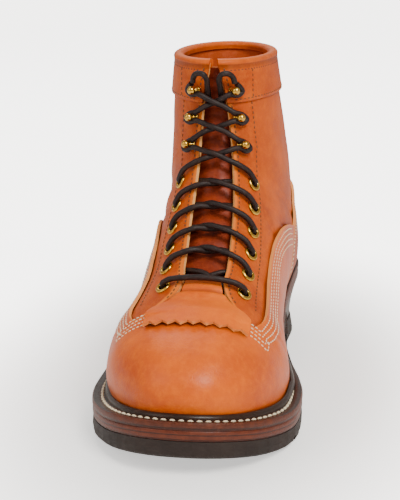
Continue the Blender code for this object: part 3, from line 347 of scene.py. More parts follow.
def add_mesh(name, points, triangles, materials, slots=None, marks=None, sharp=40):
    """Make an object from arrays, shaded smooth but for edges sharper than a limit."""
    mesh = bpy.data.meshes.new(name)
    mesh.vertices.add(len(points))
    mesh.vertices.foreach_set("co", np.asarray(points, np.float32).ravel())
    mesh.loops.add(3 * len(triangles))
    mesh.loops.foreach_set("vertex_index", np.asarray(triangles, np.int32).ravel())
    mesh.polygons.add(len(triangles))
    mesh.polygons.foreach_set("loop_start", np.arange(0, 3 * len(triangles), 3, dtype=np.int32))
    if slots is not None:
        mesh.polygons.foreach_set("material_index", np.asarray(slots, np.int32))
    for finish in materials:
        mesh.materials.append(finish)
    mesh.update(calc_edges=True)
    mesh.shade_smooth()
    mesh.set_sharp_from_angle(angle=math.radians(sharp))
    for label, value in (marks or {}).items():
        layer = mesh.attributes.new(label, "FLOAT", "POINT")
        layer.data.foreach_set("value", np.asarray(value, np.float32).ravel())
    piece = bpy.data.objects.new(name, mesh)
    bpy.context.scene.collection.objects.link(piece)
    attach(piece, "root")
    print(name, len(triangles), "triangles")
    return piece


def cloud(points, scale, seed):
    """Soft lumps between -1 and 1: a sum of sine waves in eight seeded directions."""
    rng = np.random.default_rng(seed)
    total = np.zeros(len(points))
    for _ in range(8):
        direction = rng.normal(size=3)
        direction *= rng.uniform(0.6, 1.4) / np.linalg.norm(direction)
        total += np.sin(points @ direction * 2 * math.pi / scale + rng.uniform(0, 2 * math.pi))
    return total / 4


def ring_wall(rings, closed=True):
    """Triangles between rings of equal count; closed joins the last ring to the first."""
    count = len(rings[0])
    low = np.arange(len(rings) if closed else len(rings) - 1)
    high = (low + 1) % len(rings)
    here = np.arange(count)
    following = (here + 1) % count
    a, b = (low[:, None] * count + here).ravel(), (low[:, None] * count + following).ravel()
    c, d = (high[:, None] * count + following).ravel(), (high[:, None] * count + here).ravel()
    return np.concatenate([np.stack([a, b, c], 1), np.stack([a, c, d], 1)])


def fan(ring, centre, turned=False):
    """Triangles from a ring of point numbers to a centre."""
    faces = np.stack([ring, np.roll(ring, -1), np.full(len(ring), centre)], 1)
    return faces[:, ::-1] if turned else faces


def capped(rings, first, last):
    """Skin through rings of equal count, closed by a fan to a point at each end."""
    points, count = np.vstack([*rings, first, last]), len(rings[0])
    end = (len(rings) - 1) * count
    return points, np.concatenate([ring_wall(rings, closed=False),
                                   fan(np.arange(count), len(points) - 2, turned=True),
                                   fan(end + np.arange(count), len(points) - 1)])


def outwards(points, triangles):
    """Turn all triangles if the closed skin holds a negative volume."""
    a, b, c = points[triangles[:, 0]], points[triangles[:, 1]], points[triangles[:, 2]]
    return triangles[:, ::-1] if np.einsum("ij,ij->i", a, np.cross(b, c)).sum() < 0 else triangles


def merged(forms):
    """One list of points and triangles from several."""
    starts = np.cumsum([0] + [len(points) for points, _ in forms])
    return (np.vstack([points for points, _ in forms]),
            np.vstack([faces + start for (_, faces), start in zip(forms, starts)]))


print("triangles in a grid of 3 by 3 points", len(grid_triangles(3, 3)))

# %% [markdown]
# Leather is seen through its surface: a fine grain of cells and pores, a cloudy colour where oil has
# sunk in, and a soft sheen. One node group makes those as plain values, and each finish feeds them into
# its own shader. Two painted attributes follow: "wear" lightens rubbed places, and the second darkens
# seams, overlay edges and creases with painted shade.

# %% Node helpers and the grain group
def srgb(red, green, blue):
    """Linear colour of a screen colour given from 0 to 255."""
    value = np.array([red, green, blue]) / 255
    value = np.where(value <= 0.04045, value / 12.92, ((value + 0.055) / 1.055) ** 2.4)
    return (*[float(v) for v in value], 1.0)


def feed(tree, node, sources):
    """Link inputs of a node to the sockets given for them, or set them to plain values."""
    for socket, source in sources.items():
        target = node.inputs[socket]
        if isinstance(source, bpy.types.NodeSocket):
            tree.links.new(source, target)
        else:
            target.default_value = source


def add_node(tree, kind, sources=None, **settings):
    """Add a node, set its fields, and link or set its inputs."""
    made = tree.nodes.new(kind)
    for field, value in settings.items():
        setattr(made, field, value)
    feed(tree, made, sources or {})
    return made


def math_node(tree, operation, first, second=0.0):
    """One Math node of two inputs."""
    return add_node(tree, "ShaderNodeMath", {0: first, 1: second}, operation=operation).outputs[0]


def times_plus(tree, value, factor, addend):
    """A value times a factor, plus an addend."""
    return math_node(tree, "ADD", math_node(tree, "MULTIPLY", value, factor), addend)


def ranged(tree, value, low, high, top=1.0):
    """A value carried from low and high to 0 and top, and held there beyond them."""
    return add_node(tree, "ShaderNodeMapRange", {"Value": value, "From Min": low, "From Max": high,
                                                 "To Max": top}).outputs[0]


def mix_colour(tree, factor, first, second):
    """Mix two colours by a factor."""
    return add_node(tree, "ShaderNodeMix", {0: factor, 6: first, 7: second}, data_type="RGBA").outputs[2]


def emboss(tree, shader, height, strength, distance):
    """Bump of a height into a shader's normal."""
    made = add_node(tree, "ShaderNodeBump", {"Height": height, "Strength": strength, "Distance": distance})
    feed(tree, shader, {"Normal": made.outputs["Normal"]})


def new_finish(name):
    """A material with its node tree and its shader."""
    made = bpy.data.materials.new(name)
    made.use_nodes = True
    return made, made.node_tree, made.node_tree.nodes["Principled BSDF"]


CELL_SIZE = 1100.0


def grain_group():
    """Group 'Hide grain': clouds, pores and a height for the bump, from object coordinates."""
    tree = bpy.data.node_groups.new("Hide grain", "ShaderNodeTree")
    for label, value in (("Cell size", CELL_SIZE), ("Cloud size", 28.0), ("Depth", 1.0)):
        socket = tree.interface.new_socket(label, in_out="INPUT", socket_type="NodeSocketFloat")
        socket.default_value = value
    for label in ("Cloud", "Mottle", "Height"):
        tree.interface.new_socket(label, in_out="OUTPUT", socket_type="NodeSocketFloat")
    inside, outside = tree.nodes.new("NodeGroupInput"), tree.nodes.new("NodeGroupOutput")
    place = add_node(tree, "ShaderNodeTexCoord").outputs["Object"]
    clouds = add_node(tree, "ShaderNodeTexNoise", {"Vector": place, "Scale": inside.outputs["Cloud size"],
                                                   "Detail": 4.0, "Roughness": 0.6})
    mottle = add_node(tree, "ShaderNodeTexNoise", {"Vector": place, "Scale": 240.0, "Detail": 5.0,
                                                   "Roughness": 0.7})
    cells = add_node(tree, "ShaderNodeTexVoronoi", {"Vector": place, "Scale": inside.outputs["Cell size"]},
                     feature="F1")
    fine = add_node(tree, "ShaderNodeTexNoise", {"Vector": place, "Scale": 2400.0, "Detail": 3.0})
    height = math_node(tree, "MULTIPLY", cells.outputs["Distance"], 0.55)
    for source, share in ((fine, 0.35), (mottle, 0.9)):
        height = math_node(tree, "ADD", height, math_node(tree, "MULTIPLY", source.outputs["Fac"], share))
    height = math_node(tree, "MULTIPLY", height, inside.outputs["Depth"])
    feed(tree, outside, {"Cloud": clouds.outputs["Fac"], "Mottle": mottle.outputs["Fac"], "Height": height})
    return tree


GRAIN = grain_group()


def leather(name, base, dark, light, roughness, coat, depth=1.0):
    """Leather finish: three tones mixed by cloud and mottle, painted wear and painted shade, and the grain.
    """
    made, tree, shader = new_finish(name)
    grain = add_node(tree, "ShaderNodeGroup", {"Cell size": CELL_SIZE, "Depth": depth}, node_tree=GRAIN)
    colour = mix_colour(tree, ranged(tree, grain.outputs["Cloud"], 0.35, 0.68), srgb(*dark), srgb(*base))
    colour = mix_colour(tree, ranged(tree, grain.outputs["Mottle"], 0.45, 0.80, 0.45), colour, srgb(*light))
    # The second mask lays painted shade: a near-black tone along seams, overlay edges and creases.
    for label, tone in (("wear", light), ("painted_shade", [channel * 0.30 for channel in dark])):
        mask = add_node(tree, "ShaderNodeAttribute", attribute_name=label).outputs["Fac"]
        colour = mix_colour(tree, mask, colour, srgb(*tone))
    level = times_plus(tree, grain.outputs["Mottle"], 0.22, roughness - 0.11)
    feed(tree, shader, {"Base Color": colour, "Roughness": level, "Specular IOR Level": 0.2,
                        "Coat Weight": coat, "Coat Roughness": 0.32})
    emboss(tree, shader, grain.outputs["Height"], 0.35, 0.0005)
    return made


TAN = leather("Oiled tan leather", (206, 88, 6), (168, 62, 3), (232, 118, 26), 0.46, 0.0)
TOE_TAN = leather("Toe leather", (226, 100, 0), (190, 72, 0), (244, 124, 12), 0.36, 0.12)
KILTIE_TAN = leather("Bright kiltie leather", (238, 110, 0), (214, 88, 0), (250, 134, 16), 0.46, 0.0)
RAW = leather("Cut edge of the hide", (236, 148, 74), (210, 112, 46), (250, 184, 112), 0.75, 0.0, 1.4)
LINING = leather("Lining leather", (196, 84, 34), (160, 60, 22), (226, 116, 60), 0.60, 0.05)
TONGUE_TAN = leather("Tongue leather", (150, 52, 16), (112, 36, 12), (184, 76, 30), 0.52, 0.1)
WELT_BROWN = leather("Waxed welt", (44, 26, 18), (28, 17, 12), (72, 44, 28), 0.34, 0.2, 0.6)
print("finishes", len(bpy.data.materials))

# %% [markdown]
# The quarters and shaft are one hollow shell, with the lining as its back face. Real leather is never
# quite even, so a low relief of clouds and a few creases round the ankle is added along the normals. It
# dies out near the facings, where the brass sits.

# %% Places of the eyelets and hooks
def facing_numbers():
    """Section numbers of the eyelets and hooks, spaced by their pitches along the facing."""
    numbers = np.linspace(FIRST_EYELET, LAST - 0.05, 70)
    line = surface(numbers, way_at(numbers, throat_half(numbers) + EYELET_INSET, 1), np.ones(70))
    first_hook = (EYELET_COUNT - 1) * EYELET_PITCH + HOOK_STEP
    places = np.concatenate([np.arange(EYELET_COUNT) * EYELET_PITCH,
                             first_hook + np.arange(HOOK_COUNT) * HOOK_PITCH])
    return np.interp(places, lengths(line), numbers)


def facing_frames(rows, inset):
    """Places, normals and ways outwards behind the throat's edge, for each side."""
    return {side: skin_frame(rows, side * (throat_half(rows) + inset)) for side, _ in SIDES}


ROWS = facing_numbers()
EYELETS = facing_frames(ROWS[:EYELET_COUNT], EYELET_INSET)
HOOKS = facing_frames(ROWS[EYELET_COUNT:], HOOK_INSET)
print("rows of the lacing", ROWS.round(2))


# %% Quarters and shaft
def ankle_relief(values):
    """Height of the creases: waves across the ankle and the shaft, and clouds, none at the facing."""
    points, number, way, side = values[:, :3], values[:, 3], values[:, 4], values[:, 5]
    free = (1 - fade(way, 0.78, 0.88)) * fade(number, 6.5, 8.0)
    fold = -0.0014 * bump(number + 1.1 * way, 11.55, 0.15) * bump(way, 0.60, 0.17)
    fold += -0.0012 * bump(number + 1.4 * way, 12.75, 0.17) * bump(way, 0.52, 0.20)
    fold += 0.0007 * bump(number + 1.2 * way, 12.1, 0.28) * bump(way, 0.56, 0.20)
    fold += -0.0010 * bump(number - 0.9 * way, 9.45, 0.14) * bump(way, 0.62, 0.12) * (side > 0)
    dent = -0.0012 * bump(number, 14.6, 0.9) * bump(way, 0.55, 0.18)
    return free * (fold + dent + 0.0004 * cloud(points, 0.055, 3) + 0.00012 * cloud(points, 0.016, 5))


fore = THROAT_START * np.linspace(0, 1, 34) ** 1.15
aft = np.linspace(THROAT_START, LAST, 178)
first_way = {side: throat_way(THROAT_START, side)[0] for side in (1, -1)}
sheets = []
for side in (1, -1):
    numbers = np.concatenate([fore, aft[1:]])
    edge = np.concatenate([np.full(len(fore), first_way[side]), throat_way(aft[1:], side)])
    sheets.append(sheet(numbers, 0.0, edge, side, 84))
    sheets.append(sheet(fore, first_way[side], 1.0, side, 12))
values, triangles = join(sheets)
points, triangles, slots = shell(values, triangles, 0.0, -WALL, floor=True, relief=ankle_relief(values))
centres = points[triangles].mean(1)
keep = np.ones(len(triangles), bool)
for side in (1, -1):
    for place, normal in zip(*EYELETS[side][:2]):
        apart = centres - place
        depth = apart @ normal
        distance = np.linalg.norm(apart - depth[:, None] * normal, axis=1)
        keep &= (distance > 0.0033) | (np.abs(depth) > 0.006)
both = np.vstack([values, values])
number, way = both[:, 3], both[:, 4]
behind = number > THROAT_START
edge_gap = np.abs(way - np.interp(number, aft, throat_way(aft, 1)))
wear = 0.9 * (1 - fade(edge_gap, 0.004, 0.014)) * behind * (way > 0.8)
# Painted shade on the quarters along the edges of the wing and the counter, where the overlays stand over
# them.
at_wing = 0.55 * bump(read(WING, number) - way, 0.0, 0.020) * behind * (number < WING[-1, 0])
at_counter = 0.5 * bump(way - read(COUNTER, number), 0.0, 0.018)
at_counter = at_counter * (number > 11.2) * (number < COUNTER[-1, 0])
quarters = add_mesh("quarters", points, triangles[keep], [TAN, LINING, RAW], slots[keep],
                    {"wear": wear, "painted_shade": np.maximum(at_wing, at_counter)})
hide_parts("upper")

# %% [markdown]
# The vamp lies over the quarters like a lid: one sheet over the toes that splits into two wings. It is
# the same skin moved out by a small gap and one thickness of hide. Its pale cut edge and the line of
# shadow under it, cast across the gap and deepened by painted shade on the quarters, are what make it
# read as a separate piece.

# %% Vamp
ROW_GAPS = (0.0028, 0.0060, 0.0095, 0.0130)
WAY_METRES = 0.11  # what one unit of way measures on the sides, about


def way_size(number, way, side):
    """Metres along the skin for one unit of way."""
    step = 0.01
    here = surface(number, way - step, side)
    return np.linalg.norm(surface(number, way + step, side) - here, axis=-1) / (2 * step)


def vamp_relief(values):
    """Grooves under the stitch rows, flex creases from the throat's corners, and clouds."""
    points, number, way, side = values[:, :3], values[:, 3], values[:, 4], values[:, 5]
    gap = (read(WING, number) - way) * way_size(number, np.clip(way, 0.02, 0.98), side)
    rows = sum(-0.00022 * bump(gap, one, 0.0009) for one in ROW_GAPS) * (number > 5.5)
    flex = -0.0010 * bump(number + 0.9 * way, 6.55, 0.10) * bump(way, 0.42, 0.20)
    flex += -0.0009 * bump(number + 0.7 * way, 7.35, 0.11) * bump(way, 0.38, 0.17)
    flex += 0.0005 * bump(number + 0.8 * way, 6.95, 0.16) * bump(way, 0.40, 0.18)
    flex += -0.0005 * bump(number + 0.5 * way, 8.35, 0.18) * bump(way, 0.34, 0.15)
    free = fade(way, 0.03, 0.14)
    return rows + free * (flex + 0.00035 * cloud(points, 0.045, 11) + 0.00010 * cloud(points, 0.012, 13))


def welt_shade(values):
    """Painted shade where a piece meets the welt, gone 5.5 mm above it."""
    return 0.8 * (1 - fade(values[:, 2] - bed(values[:, 1]), 0.0005, 0.0055))


rows_aft = np.unique(np.concatenate([np.linspace(THROAT_START, 10.0, 84), 10 + np.array([0.01, 0.03, 0.06]),
                                     np.linspace(10.1, WING[-1, 0], 40)]))
sheets = []
wing_start = read(WING, THROAT_START)
for side in (1, -1):
    sheets.append(sheet(fore, 0.0, wing_start, side, 56))
    sheets.append(sheet(fore, wing_start, 1.0, side, 22))
    low = np.where(rows_aft >= COUNTER[0, 0], read(COUNTER, rows_aft) + JOINT_SHARE, 0.0)
    sheets.append(sheet(rows_aft, low, np.maximum(read(WING, rows_aft), low + 0.02), side, 56))
values, triangles = join(sheets)
points, triangles, slots = shell(values, triangles, CURVE_GAP + OVERLAY, CURVE_GAP, floor=True,
                                 relief=vamp_relief(values))
both = np.vstack([values, values])
number = both[:, 3]
gap = (read(WING, number) - both[:, 4]) * WAY_METRES + 1.0 * (number < THROAT_START)
across = np.abs(both[:, 0] - surface(number, np.ones(len(both)), both[:, 5])[:, 0])
# Painted shade on the vamp: in the gap under the kiltie's teeth, and along the welt.
under = fade(number, 4.82, 4.98) * (1 - fade(across, 0.0262, 0.0285)) * (number < 5.7)
vamp = add_mesh("vamp_leather", points, triangles, [TOE_TAN, RAW, RAW], slots,
                {"wear": 0.45 * (1 - fade(gap, 0.0, 0.0016)),
                 "painted_shade": np.maximum(welt_shade(both), 0.85 * under)})
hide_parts("vamp")

# %% [markdown]
# The counter cover wraps the heel in the same way. Its front edge runs beside the wing with a hair's
# breadth between them.

# %% Counter cover
def counter_relief(values):
    """Height of its clouds, none at the foot."""
    return 0.0003 * cloud(values[:, :3], 0.04, 21) * fade(values[:, 4], 0.02, 0.1)


numbers = np.unique(np.concatenate([10 + np.array([0.012, 0.03, 0.06]), np.linspace(10.1, 14.5, 90),
                                    14.5 + np.array([0.05, 0.1, 0.14, 0.17, 0.19])]))
sheets = [sheet(numbers, 0.0, np.maximum(read(COUNTER, numbers), 0.006), side, 60) for side in (1, -1)]
values, triangles = join(sheets)
points, triangles, slots = shell(values, triangles, CURVE_GAP + OVERLAY, CURVE_GAP, floor=True,
                                 relief=counter_relief(values))
both = np.vstack([values, values])
gap = (read(COUNTER, both[:, 3]) - both[:, 4]) * WAY_METRES
# Painted shade along the welt, as on the vamp.
counter = add_mesh("counter_leather", points, triangles, [TAN, RAW, RAW], slots,
                   {"wear": 0.4 * (1 - fade(gap, 0.0, 0.0016)), "painted_shade": welt_shade(both)})
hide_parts("counter")

# %% [markdown]
# The collar is a band round the top of the shaft that is folded over the edge in a soft roll. A profile
# is carried round the rim: straight down the outside, half an oval over the top, and a short lip inside.

# %% Collar band with its roll
STEP_FRONT, STEP_BACK = [SHELL_HEIGHT - surface(np.array([LAST - 1]), np.array([way]), np.ones(1))[0, 2]
                         for way in (1.0, 0.0)]


def sections_down(depth, way):
    """Depth below the rim as a count of sections, whose height changes from the back to the front."""
    return depth / (STEP_BACK * (1 - way) + STEP_FRONT * way)


def collar_rows(cells=90):
    """Profile points at stations round the rim, from one corner of the throat round the back."""
    one = np.array([LAST])
    turn = np.radians(np.linspace(-25, 200, 22))
    reach = np.concatenate([0.00345 * np.cos(turn), [-0.0031, -0.00185, -0.00185, 0.00185]])
    rise = np.concatenate([0.00264 * np.sin(turn), [-0.0024, -0.0024, 0.00052, 0.00052]])
    down = np.array([1.0, 0.985, 0.9, 0.75, 0.6, 0.45, 0.3, 0.2, 0.13])
    lines = []
    for side in (1, -1):
        edge = throat_way(one, side)[0]
        way = spread(one, np.zeros(1), np.array([edge]), cells)[0]
        way = way[::-1] if side > 0 else way[1:]
        depth = sections_down(BAND_DEPTH, way)
        number = LAST - depth[:, None] * np.concatenate([down, [0.0]])[None, :]
        flat = number.ravel()
        ways = (np.repeat(way / edge, number.shape[1]) * throat_way(flat, side)).reshape(number.shape)
        sides = np.full_like(ways, side)
        here = surface(number, ways, sides)
        step = np.where(ways > 0.5, -0.01, 0.01)
        beside = surface(number, ways + step, sides)
        along = surface(number + 0.02, ways, sides) - surface(number - 0.02, ways, sides)
        along[:, -1] = along[:, -2]
        normal = np.cross(along, (beside - here) * np.sign(step)[..., None]) * side
        back_seam = ways < 1e-9
        normal[back_seam] = np.cross(along[back_seam], [1.0, 0.0, 0.0])
        normal = unit(normal)
        upward, top, out = unit(along[:, -1]), here[:, -1], normal[:, -1]
        roll = (top[:, None] + out[:, None] * (reach - WALL / 2)[None, :, None]
                + upward[:, None] * rise[None, :, None])
        outer = here[:, :-1] + normal[:, :-1] * (CURVE_GAP + BAND)
        outer[:, 0] -= normal[:, 0] * BAND * 0.3
        inner = here[:, [8, 4, 0]] + normal[:, [8, 4, 0]] * CURVE_GAP
        lines.append(np.concatenate([outer, roll, inner], axis=1))
    return np.concatenate(lines)


rows = collar_rows()
count = rows.shape[1]
points, triangles = capped(rows, rows[0].mean(0), rows[-1].mean(0))
line = np.tile(np.arange(count), len(rows))
# Painted shade at the band's lower edge and under the roll.
painted_shade = 0.5 * ((line == 0) | (line == 9)) + 0.35 * (line == 8)
wear = 0.35 * bump(line, 19, 5)
collar = add_mesh("collar", points, outwards(points, triangles), [TAN], None,
                  {"wear": np.append(wear, [0, 0]), "painted_shade": np.append(painted_shade, [0, 0])}, sharp=60)
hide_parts("collar_band")

# %% [markdown]
# The tongue is a plain sheet under the facings. The kiltie is a second, brighter tongue that lies over
# the front of the vamp; its lower edge is pinked into teeth and stands off, and where the lace bar
# presses on it there is a crease.

# %% Tongue
numbers = np.linspace(THROAT_START + 0.2, LAST - 0.35, 90)
half = np.minimum(throat_half(numbers) + 0.012, 0.026)
sheets = [sheet(numbers, way_at(numbers, half, side), 1.0, side, 22) for side in (1, -1)]
values, triangles = join(sheets)
drop = -(WALL + LACE + 2.2 * CURVE_GAP)
relief = (0.00045 * np.sin(values[:, 3] * 9) * bump(values[:, 4], 1.0, 0.1)
          + 0.0004 * cloud(values[:, :3], 0.02, 31))
points, triangles, slots = shell(values, triangles, drop, drop - TONGUE_WALL, relief=relief)
tongue = add_mesh("tongue_leather", points, triangles, [TONGUE_TAN, LINING, RAW], slots)
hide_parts("tongue")

# %% Kiltie
PRESSED = 6.42  # section number at which the lace bar lies on the kiltie
rows_count, cols_count = 46, 145
section = np.linspace(KILTIE[0, 0], KILTIE[-1, 0], rows_count)
half = np.minimum(KILTIE_HALF, throat_half(section) - 3 * CURVE_GAP)
across = np.linspace(-1, 1, cols_count)
zigzag = np.abs((across * KILTIE_TEETH / 2 + 0.5) % 1.0 * 2 - 1)
hem = 0.15 * zigzag + 0.13 * np.abs(across) ** 2.5
number = section[:, None] + hem[None, :] * np.maximum(0, 1 - (section - section[0]) / 0.40)[:, None]
wide = half[:, None] * across[None, :]
sides = np.where(wide < 0, -1.0, 1.0)
ways = way_at(number.ravel(), np.abs(wide).ravel(), sides.ravel()).reshape(number.shape)
grid = np.concatenate([surface(number, ways, sides), np.stack([number, ways], -1)], -1)
values = grid.reshape(-1, 5)
triangles = grid_triangles(rows_count, cols_count)[:, ::-1]
lift = OVERLAY * read(KILTIE, values[:, 3])
crease = -0.0013 * bump(values[:, 3], PRESSED, 0.045) + 0.0006 * bump(values[:, 3], 6.28, 0.07)
ripple = (0.00035 * cloud(values[:, :3], 0.018, 41)
          - 0.0006 * np.tile(across ** 2, rows_count) * (values[:, 3] < 5.3))
points, triangles, slots = shell(values, triangles, lift, lift - KILTIE_WALL, relief=crease + ripple)
number = np.tile(values[:, 3], 2)
# Painted shade in the crease where the lace bar presses.
kiltie = add_mesh("kiltie_leather", points, triangles, [KILTIE_TAN, RAW, RAW], slots,
                  {"wear": 0.5 * (1 - fade(number - KILTIE[0, 0], 0.0, 0.1)),
                   "painted_shade": 0.45 * bump(number, PRESSED, 0.05)})
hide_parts("kiltie")

# %% [markdown]
# Under the upper come the storm welt, the midsole and the stacked heel. Each is a profile carried round
# the sole's outline. The welt has a raised rib that hugs the leather, and a flat shelf with big stitches.

# %% Rings round the sole
RIB_WIDTH, RIB_HEIGHT, EDGE_ROUND = 0.0027, 0.0032, 0.0009
RIB_GAP = OVERLAY + 2.6 * CURVE_GAP
RIB_FADE_START, RIB_FADE_END = 0.48, 0.58
BREAST, BREAST_SLANT, HEEL_UNDERCUT = 0.665, 0.0100, 0.0062
GROOVE, GROOVE_DEPTH = -0.0060, 0.0004


def shares(start=0.0, end=1.0, steps=220):
    """Shares along the sole, closer together at a round end: a cosine of even steps."""
    first = math.pi / 2 if start > 0 else 0.0
    even = (1 - np.cos(np.linspace(first, math.pi, steps + 1))) / 2
    even = (even - even[0]) / (even[-1] - even[0])
    return start + (end - start) * even


def edge_ring(along, offset=0.0, margin=0.0):
    """Plan points round the sole, inner side first, moved outwards by offset along the normals."""
    if margin:
        y_edge = plan(along)[0]
        y_ends = plan(np.array([0.0, 1.0]), margin)[0]
        beside = (y_edge - y_ends[0]) / (y_ends[1] - y_ends[0])
        along = along + (beside - along) * fade(along, 0.15, 0.3) * (1 - fade(along, 0.8, 0.95))
    y, inner_x, outer_x = plan(along, margin)
    ring = np.vstack([np.stack([inner_x, y], 1), np.stack([outer_x, y], 1)[::-1]])
    ring = ring[:-1] if along[0] < 1e-9 else ring
    ring = np.delete(ring, len(along), axis=0) if along[-1] > 1 - 1e-9 else ring
    tangent = np.roll(ring, -1, axis=0) - np.roll(ring, 1, axis=0)
    normal = np.stack([tangent[:, 1], -tangent[:, 0]], 1)
    return ring + unit(normal) * np.broadcast_to(offset, len(ring))[:, None]


def strip_cap(start, count, turned, pointed=True):
    """Triangles that close a ring by strips from its inner to its outer side."""
    left = np.arange(0, (count - 1) // 2) if pointed else np.arange(0, count // 2 - 1)
    right = (count - left) % count if pointed else count - 1 - left
    after = (right - 1) % count
    faces = np.concatenate([np.stack([start + left, start + left + 1, start + after], 1),
                            np.stack([start + left, start + after, start + right], 1)])
    a, b, c = faces.T
    faces = faces[(a != b) & (b != c) & (a != c)]
    return faces[:, ::-1] if turned else faces


def at_height(ring, height):
    """Ring points with a height added, a number or a function of Y."""
    return np.column_stack([ring, height(ring[:, 1]) if callable(height) else np.full(len(ring), height)])


def stacked(rings, pointed=True):
    """Solid through rings of the sole's outline, closed by strips at both ends."""
    points, count = np.vstack(rings), len(rings[0])
    faces = [ring_wall(rings, closed=False), strip_cap(0, count, True, pointed),
             strip_cap((len(rings) - 1) * count, count, False, pointed)]
    return points, outwards(points, np.concatenate(faces))


print("points round the sole", len(edge_ring(shares())))

# %% Welt
along = shares()
outer = edge_ring(along, -0.7 * EDGE_ROUND)
place = outer[:, 1] / BOOT_LENGTH + 0.5
free = fade(place, RIB_FADE_START, RIB_FADE_END)
rib = RIB_HEIGHT * (1 - free)
local = SIDE_MARGIN * read(OUTLINE, place, 3)


def welt_ring(ring, rise):
    """Ring on the midsole raised by a number or a value for each point."""
    flat = at_height(ring, lambda y: camber(y) + MIDSOLE + GAP)
    flat[:, 2] += rise
    return flat


def beside(with_rib, without_rib):
    """Ring beside the upper; the rib's place fades to a share of the margin where there is no rib."""
    return edge_ring(along, (1 - free) * with_rib + free * without_rib * local, 1.0)


profile = [
    (outer, 0.0), (edge_ring(along, 0.0), WELT * 0.3), (edge_ring(along, 0.0), WELT * 0.7),
    (outer, WELT - 0.0002), (edge_ring(along, -1.6 * EDGE_ROUND), WELT)]
profile += [(edge_ring(along, GROOVE + step), WELT - sunk) for step, sunk in
            ((0.0012, 0.0), (0.0006, GROOVE_DEPTH), (-0.0006, GROOVE_DEPTH), (-0.0012, 0.0))]
for turn in np.linspace(0, 1, 7):
    reach = RIB_GAP + RIB_WIDTH * (0.5 + 0.5 * math.cos(math.pi * turn))
    crest = rib * math.sin(math.pi * min(0.62 * turn + 0.02, 1))
    profile.append((beside(reach, 0.6 - 0.3 * turn), WELT + crest))
profile += [(beside(RIB_GAP * 0.9, 0.25), WELT), (edge_ring(along, -WALL, 1.0), WELT),
            (edge_ring(along, -WALL, 1.0), 0.0)]
rings = [welt_ring(ring, rise) for ring, rise in profile]
marks = np.repeat([0.0, 0.3, 0.7, 1.0] + [1.2] * 5 + [1.6] * 7 + [1.2] * 3, len(outer))
points, triangles = np.vstack(rings), ring_wall(rings)


def layered(name, face, dark, light, layers, roughness, gloss):
    """Edge finish: layer lines from the attribute "level", scratches and a cloudy tone."""
    made, tree, shader = new_finish(name)
    level = add_node(tree, "ShaderNodeAttribute", attribute_name="level").outputs["Fac"]
    grain = add_node(tree, "ShaderNodeGroup", node_tree=GRAIN)
    shake = math_node(tree, "MULTIPLY", grain.outputs["Cloud"], 0.8)
    wave = math_node(tree, "SINE", times_plus(tree, level, layers * 2 * math.pi, shake))
    line = ranged(tree, wave, 0.55, 0.95)
    spots = ranged(tree, grain.outputs["Mottle"], 0.42, 0.75)
    colour = mix_colour(tree, spots, srgb(*face), srgb(*light))
    colour = mix_colour(tree, math_node(tree, "MULTIPLY", line, 0.75), colour, srgb(*dark))
    rough = times_plus(tree, grain.outputs["Mottle"], 0.3, roughness - 0.15)
    feed(tree, shader, {"Base Color": colour, "Roughness": rough, "Specular IOR Level": 0.3,
                        "Coat Weight": gloss * 0.5, "Coat Roughness": 0.3})
    height = math_node(tree, "SUBTRACT", grain.outputs["Height"], math_node(tree, "MULTIPLY", line, 1.6))
    emboss(tree, shader, height, 0.4, 0.0004)
    return made


WELT_EDGE = layered("welt edge", (78, 32, 14), (36, 16, 8), (104, 48, 22), 1.0, 0.45, 0.15)
MIDSOLE_EDGE = layered("midsole edge", (86, 34, 15), (34, 14, 8), (112, 50, 24), 2.0, 0.42, 0.2)
HEEL_STACK = layered("heel stack", (46, 28, 20), (20, 12, 9), (70, 42, 28), 7.0, 0.38, 0.3)
welt_slots = np.tile(np.repeat(np.where(np.arange(len(rings)) < 3, 1, 0), len(outer)), 2)
welt = add_mesh("welt_ring", points, outwards(points, triangles), [WELT_BROWN, WELT_EDGE], welt_slots,
                {"level": marks, "wear": 0.12 * (marks > 1.5)})
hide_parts("welt")

# %% [markdown]
# The midsole and the heel are stacks of leather. What shows is their edge, so we give it a slightly
# rounded profile and an attribute that runs from bottom to top, which the finish turns into layer lines.

# %% Midsole and heel stack
# share of the height, and inset as a share of the edge's rounding
EDGE_PROFILE = ((0.0, 0.9), (0.12, 0.45), (0.45, 0.15), (0.52, 0.30), (0.58, 0.15), (0.88, 0.45), (1.0, 0.9))
rings, level = [], []
for share, inset in EDGE_PROFILE:
    ring = edge_ring(along, -inset * EDGE_ROUND)
    rings.append(at_height(ring, lambda y, share=share: camber(y) + MIDSOLE * share))
    level.append(np.full(len(ring), share))
points, triangles = stacked(rings)
midsole = add_mesh("midsole_edge", points, triangles, [MIDSOLE_EDGE], None, {"level": np.concatenate(level)})
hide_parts("midsole")

rings, level = [], []
lift_top = TOP_LIFT + GAP
for share in np.linspace(0, 1, 22)[::-1]:
    inset = EDGE_ROUND + (HEEL_UNDERCUT - EDGE_ROUND) * math.sin(math.pi / 2 * share)
    inset += 0.00012 * math.cos(share * 7 * 2 * math.pi)
    breast = BREAST + share * 0.75 * BREAST_SLANT / BOOT_LENGTH
    ring = edge_ring(shares(breast, 1.0, 90), -inset)
    rings.append(at_height(ring, lambda y, share=share: (camber(y) - GAP) * (1 - share) + lift_top * share))
    level.append(np.full(len(ring), 1 - share))
points, triangles = stacked(rings, pointed=False)
heel = add_mesh("heel_layers", points, triangles, [HEEL_STACK], None, {"level": np.concatenate(level)},
                sharp=50)
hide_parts("heel_stack")

# %% [markdown]
# The rubber half sole, the top lift and the insole stay as they come from the part: their forms are
# plain. They get finishes with fine moulded grain instead.

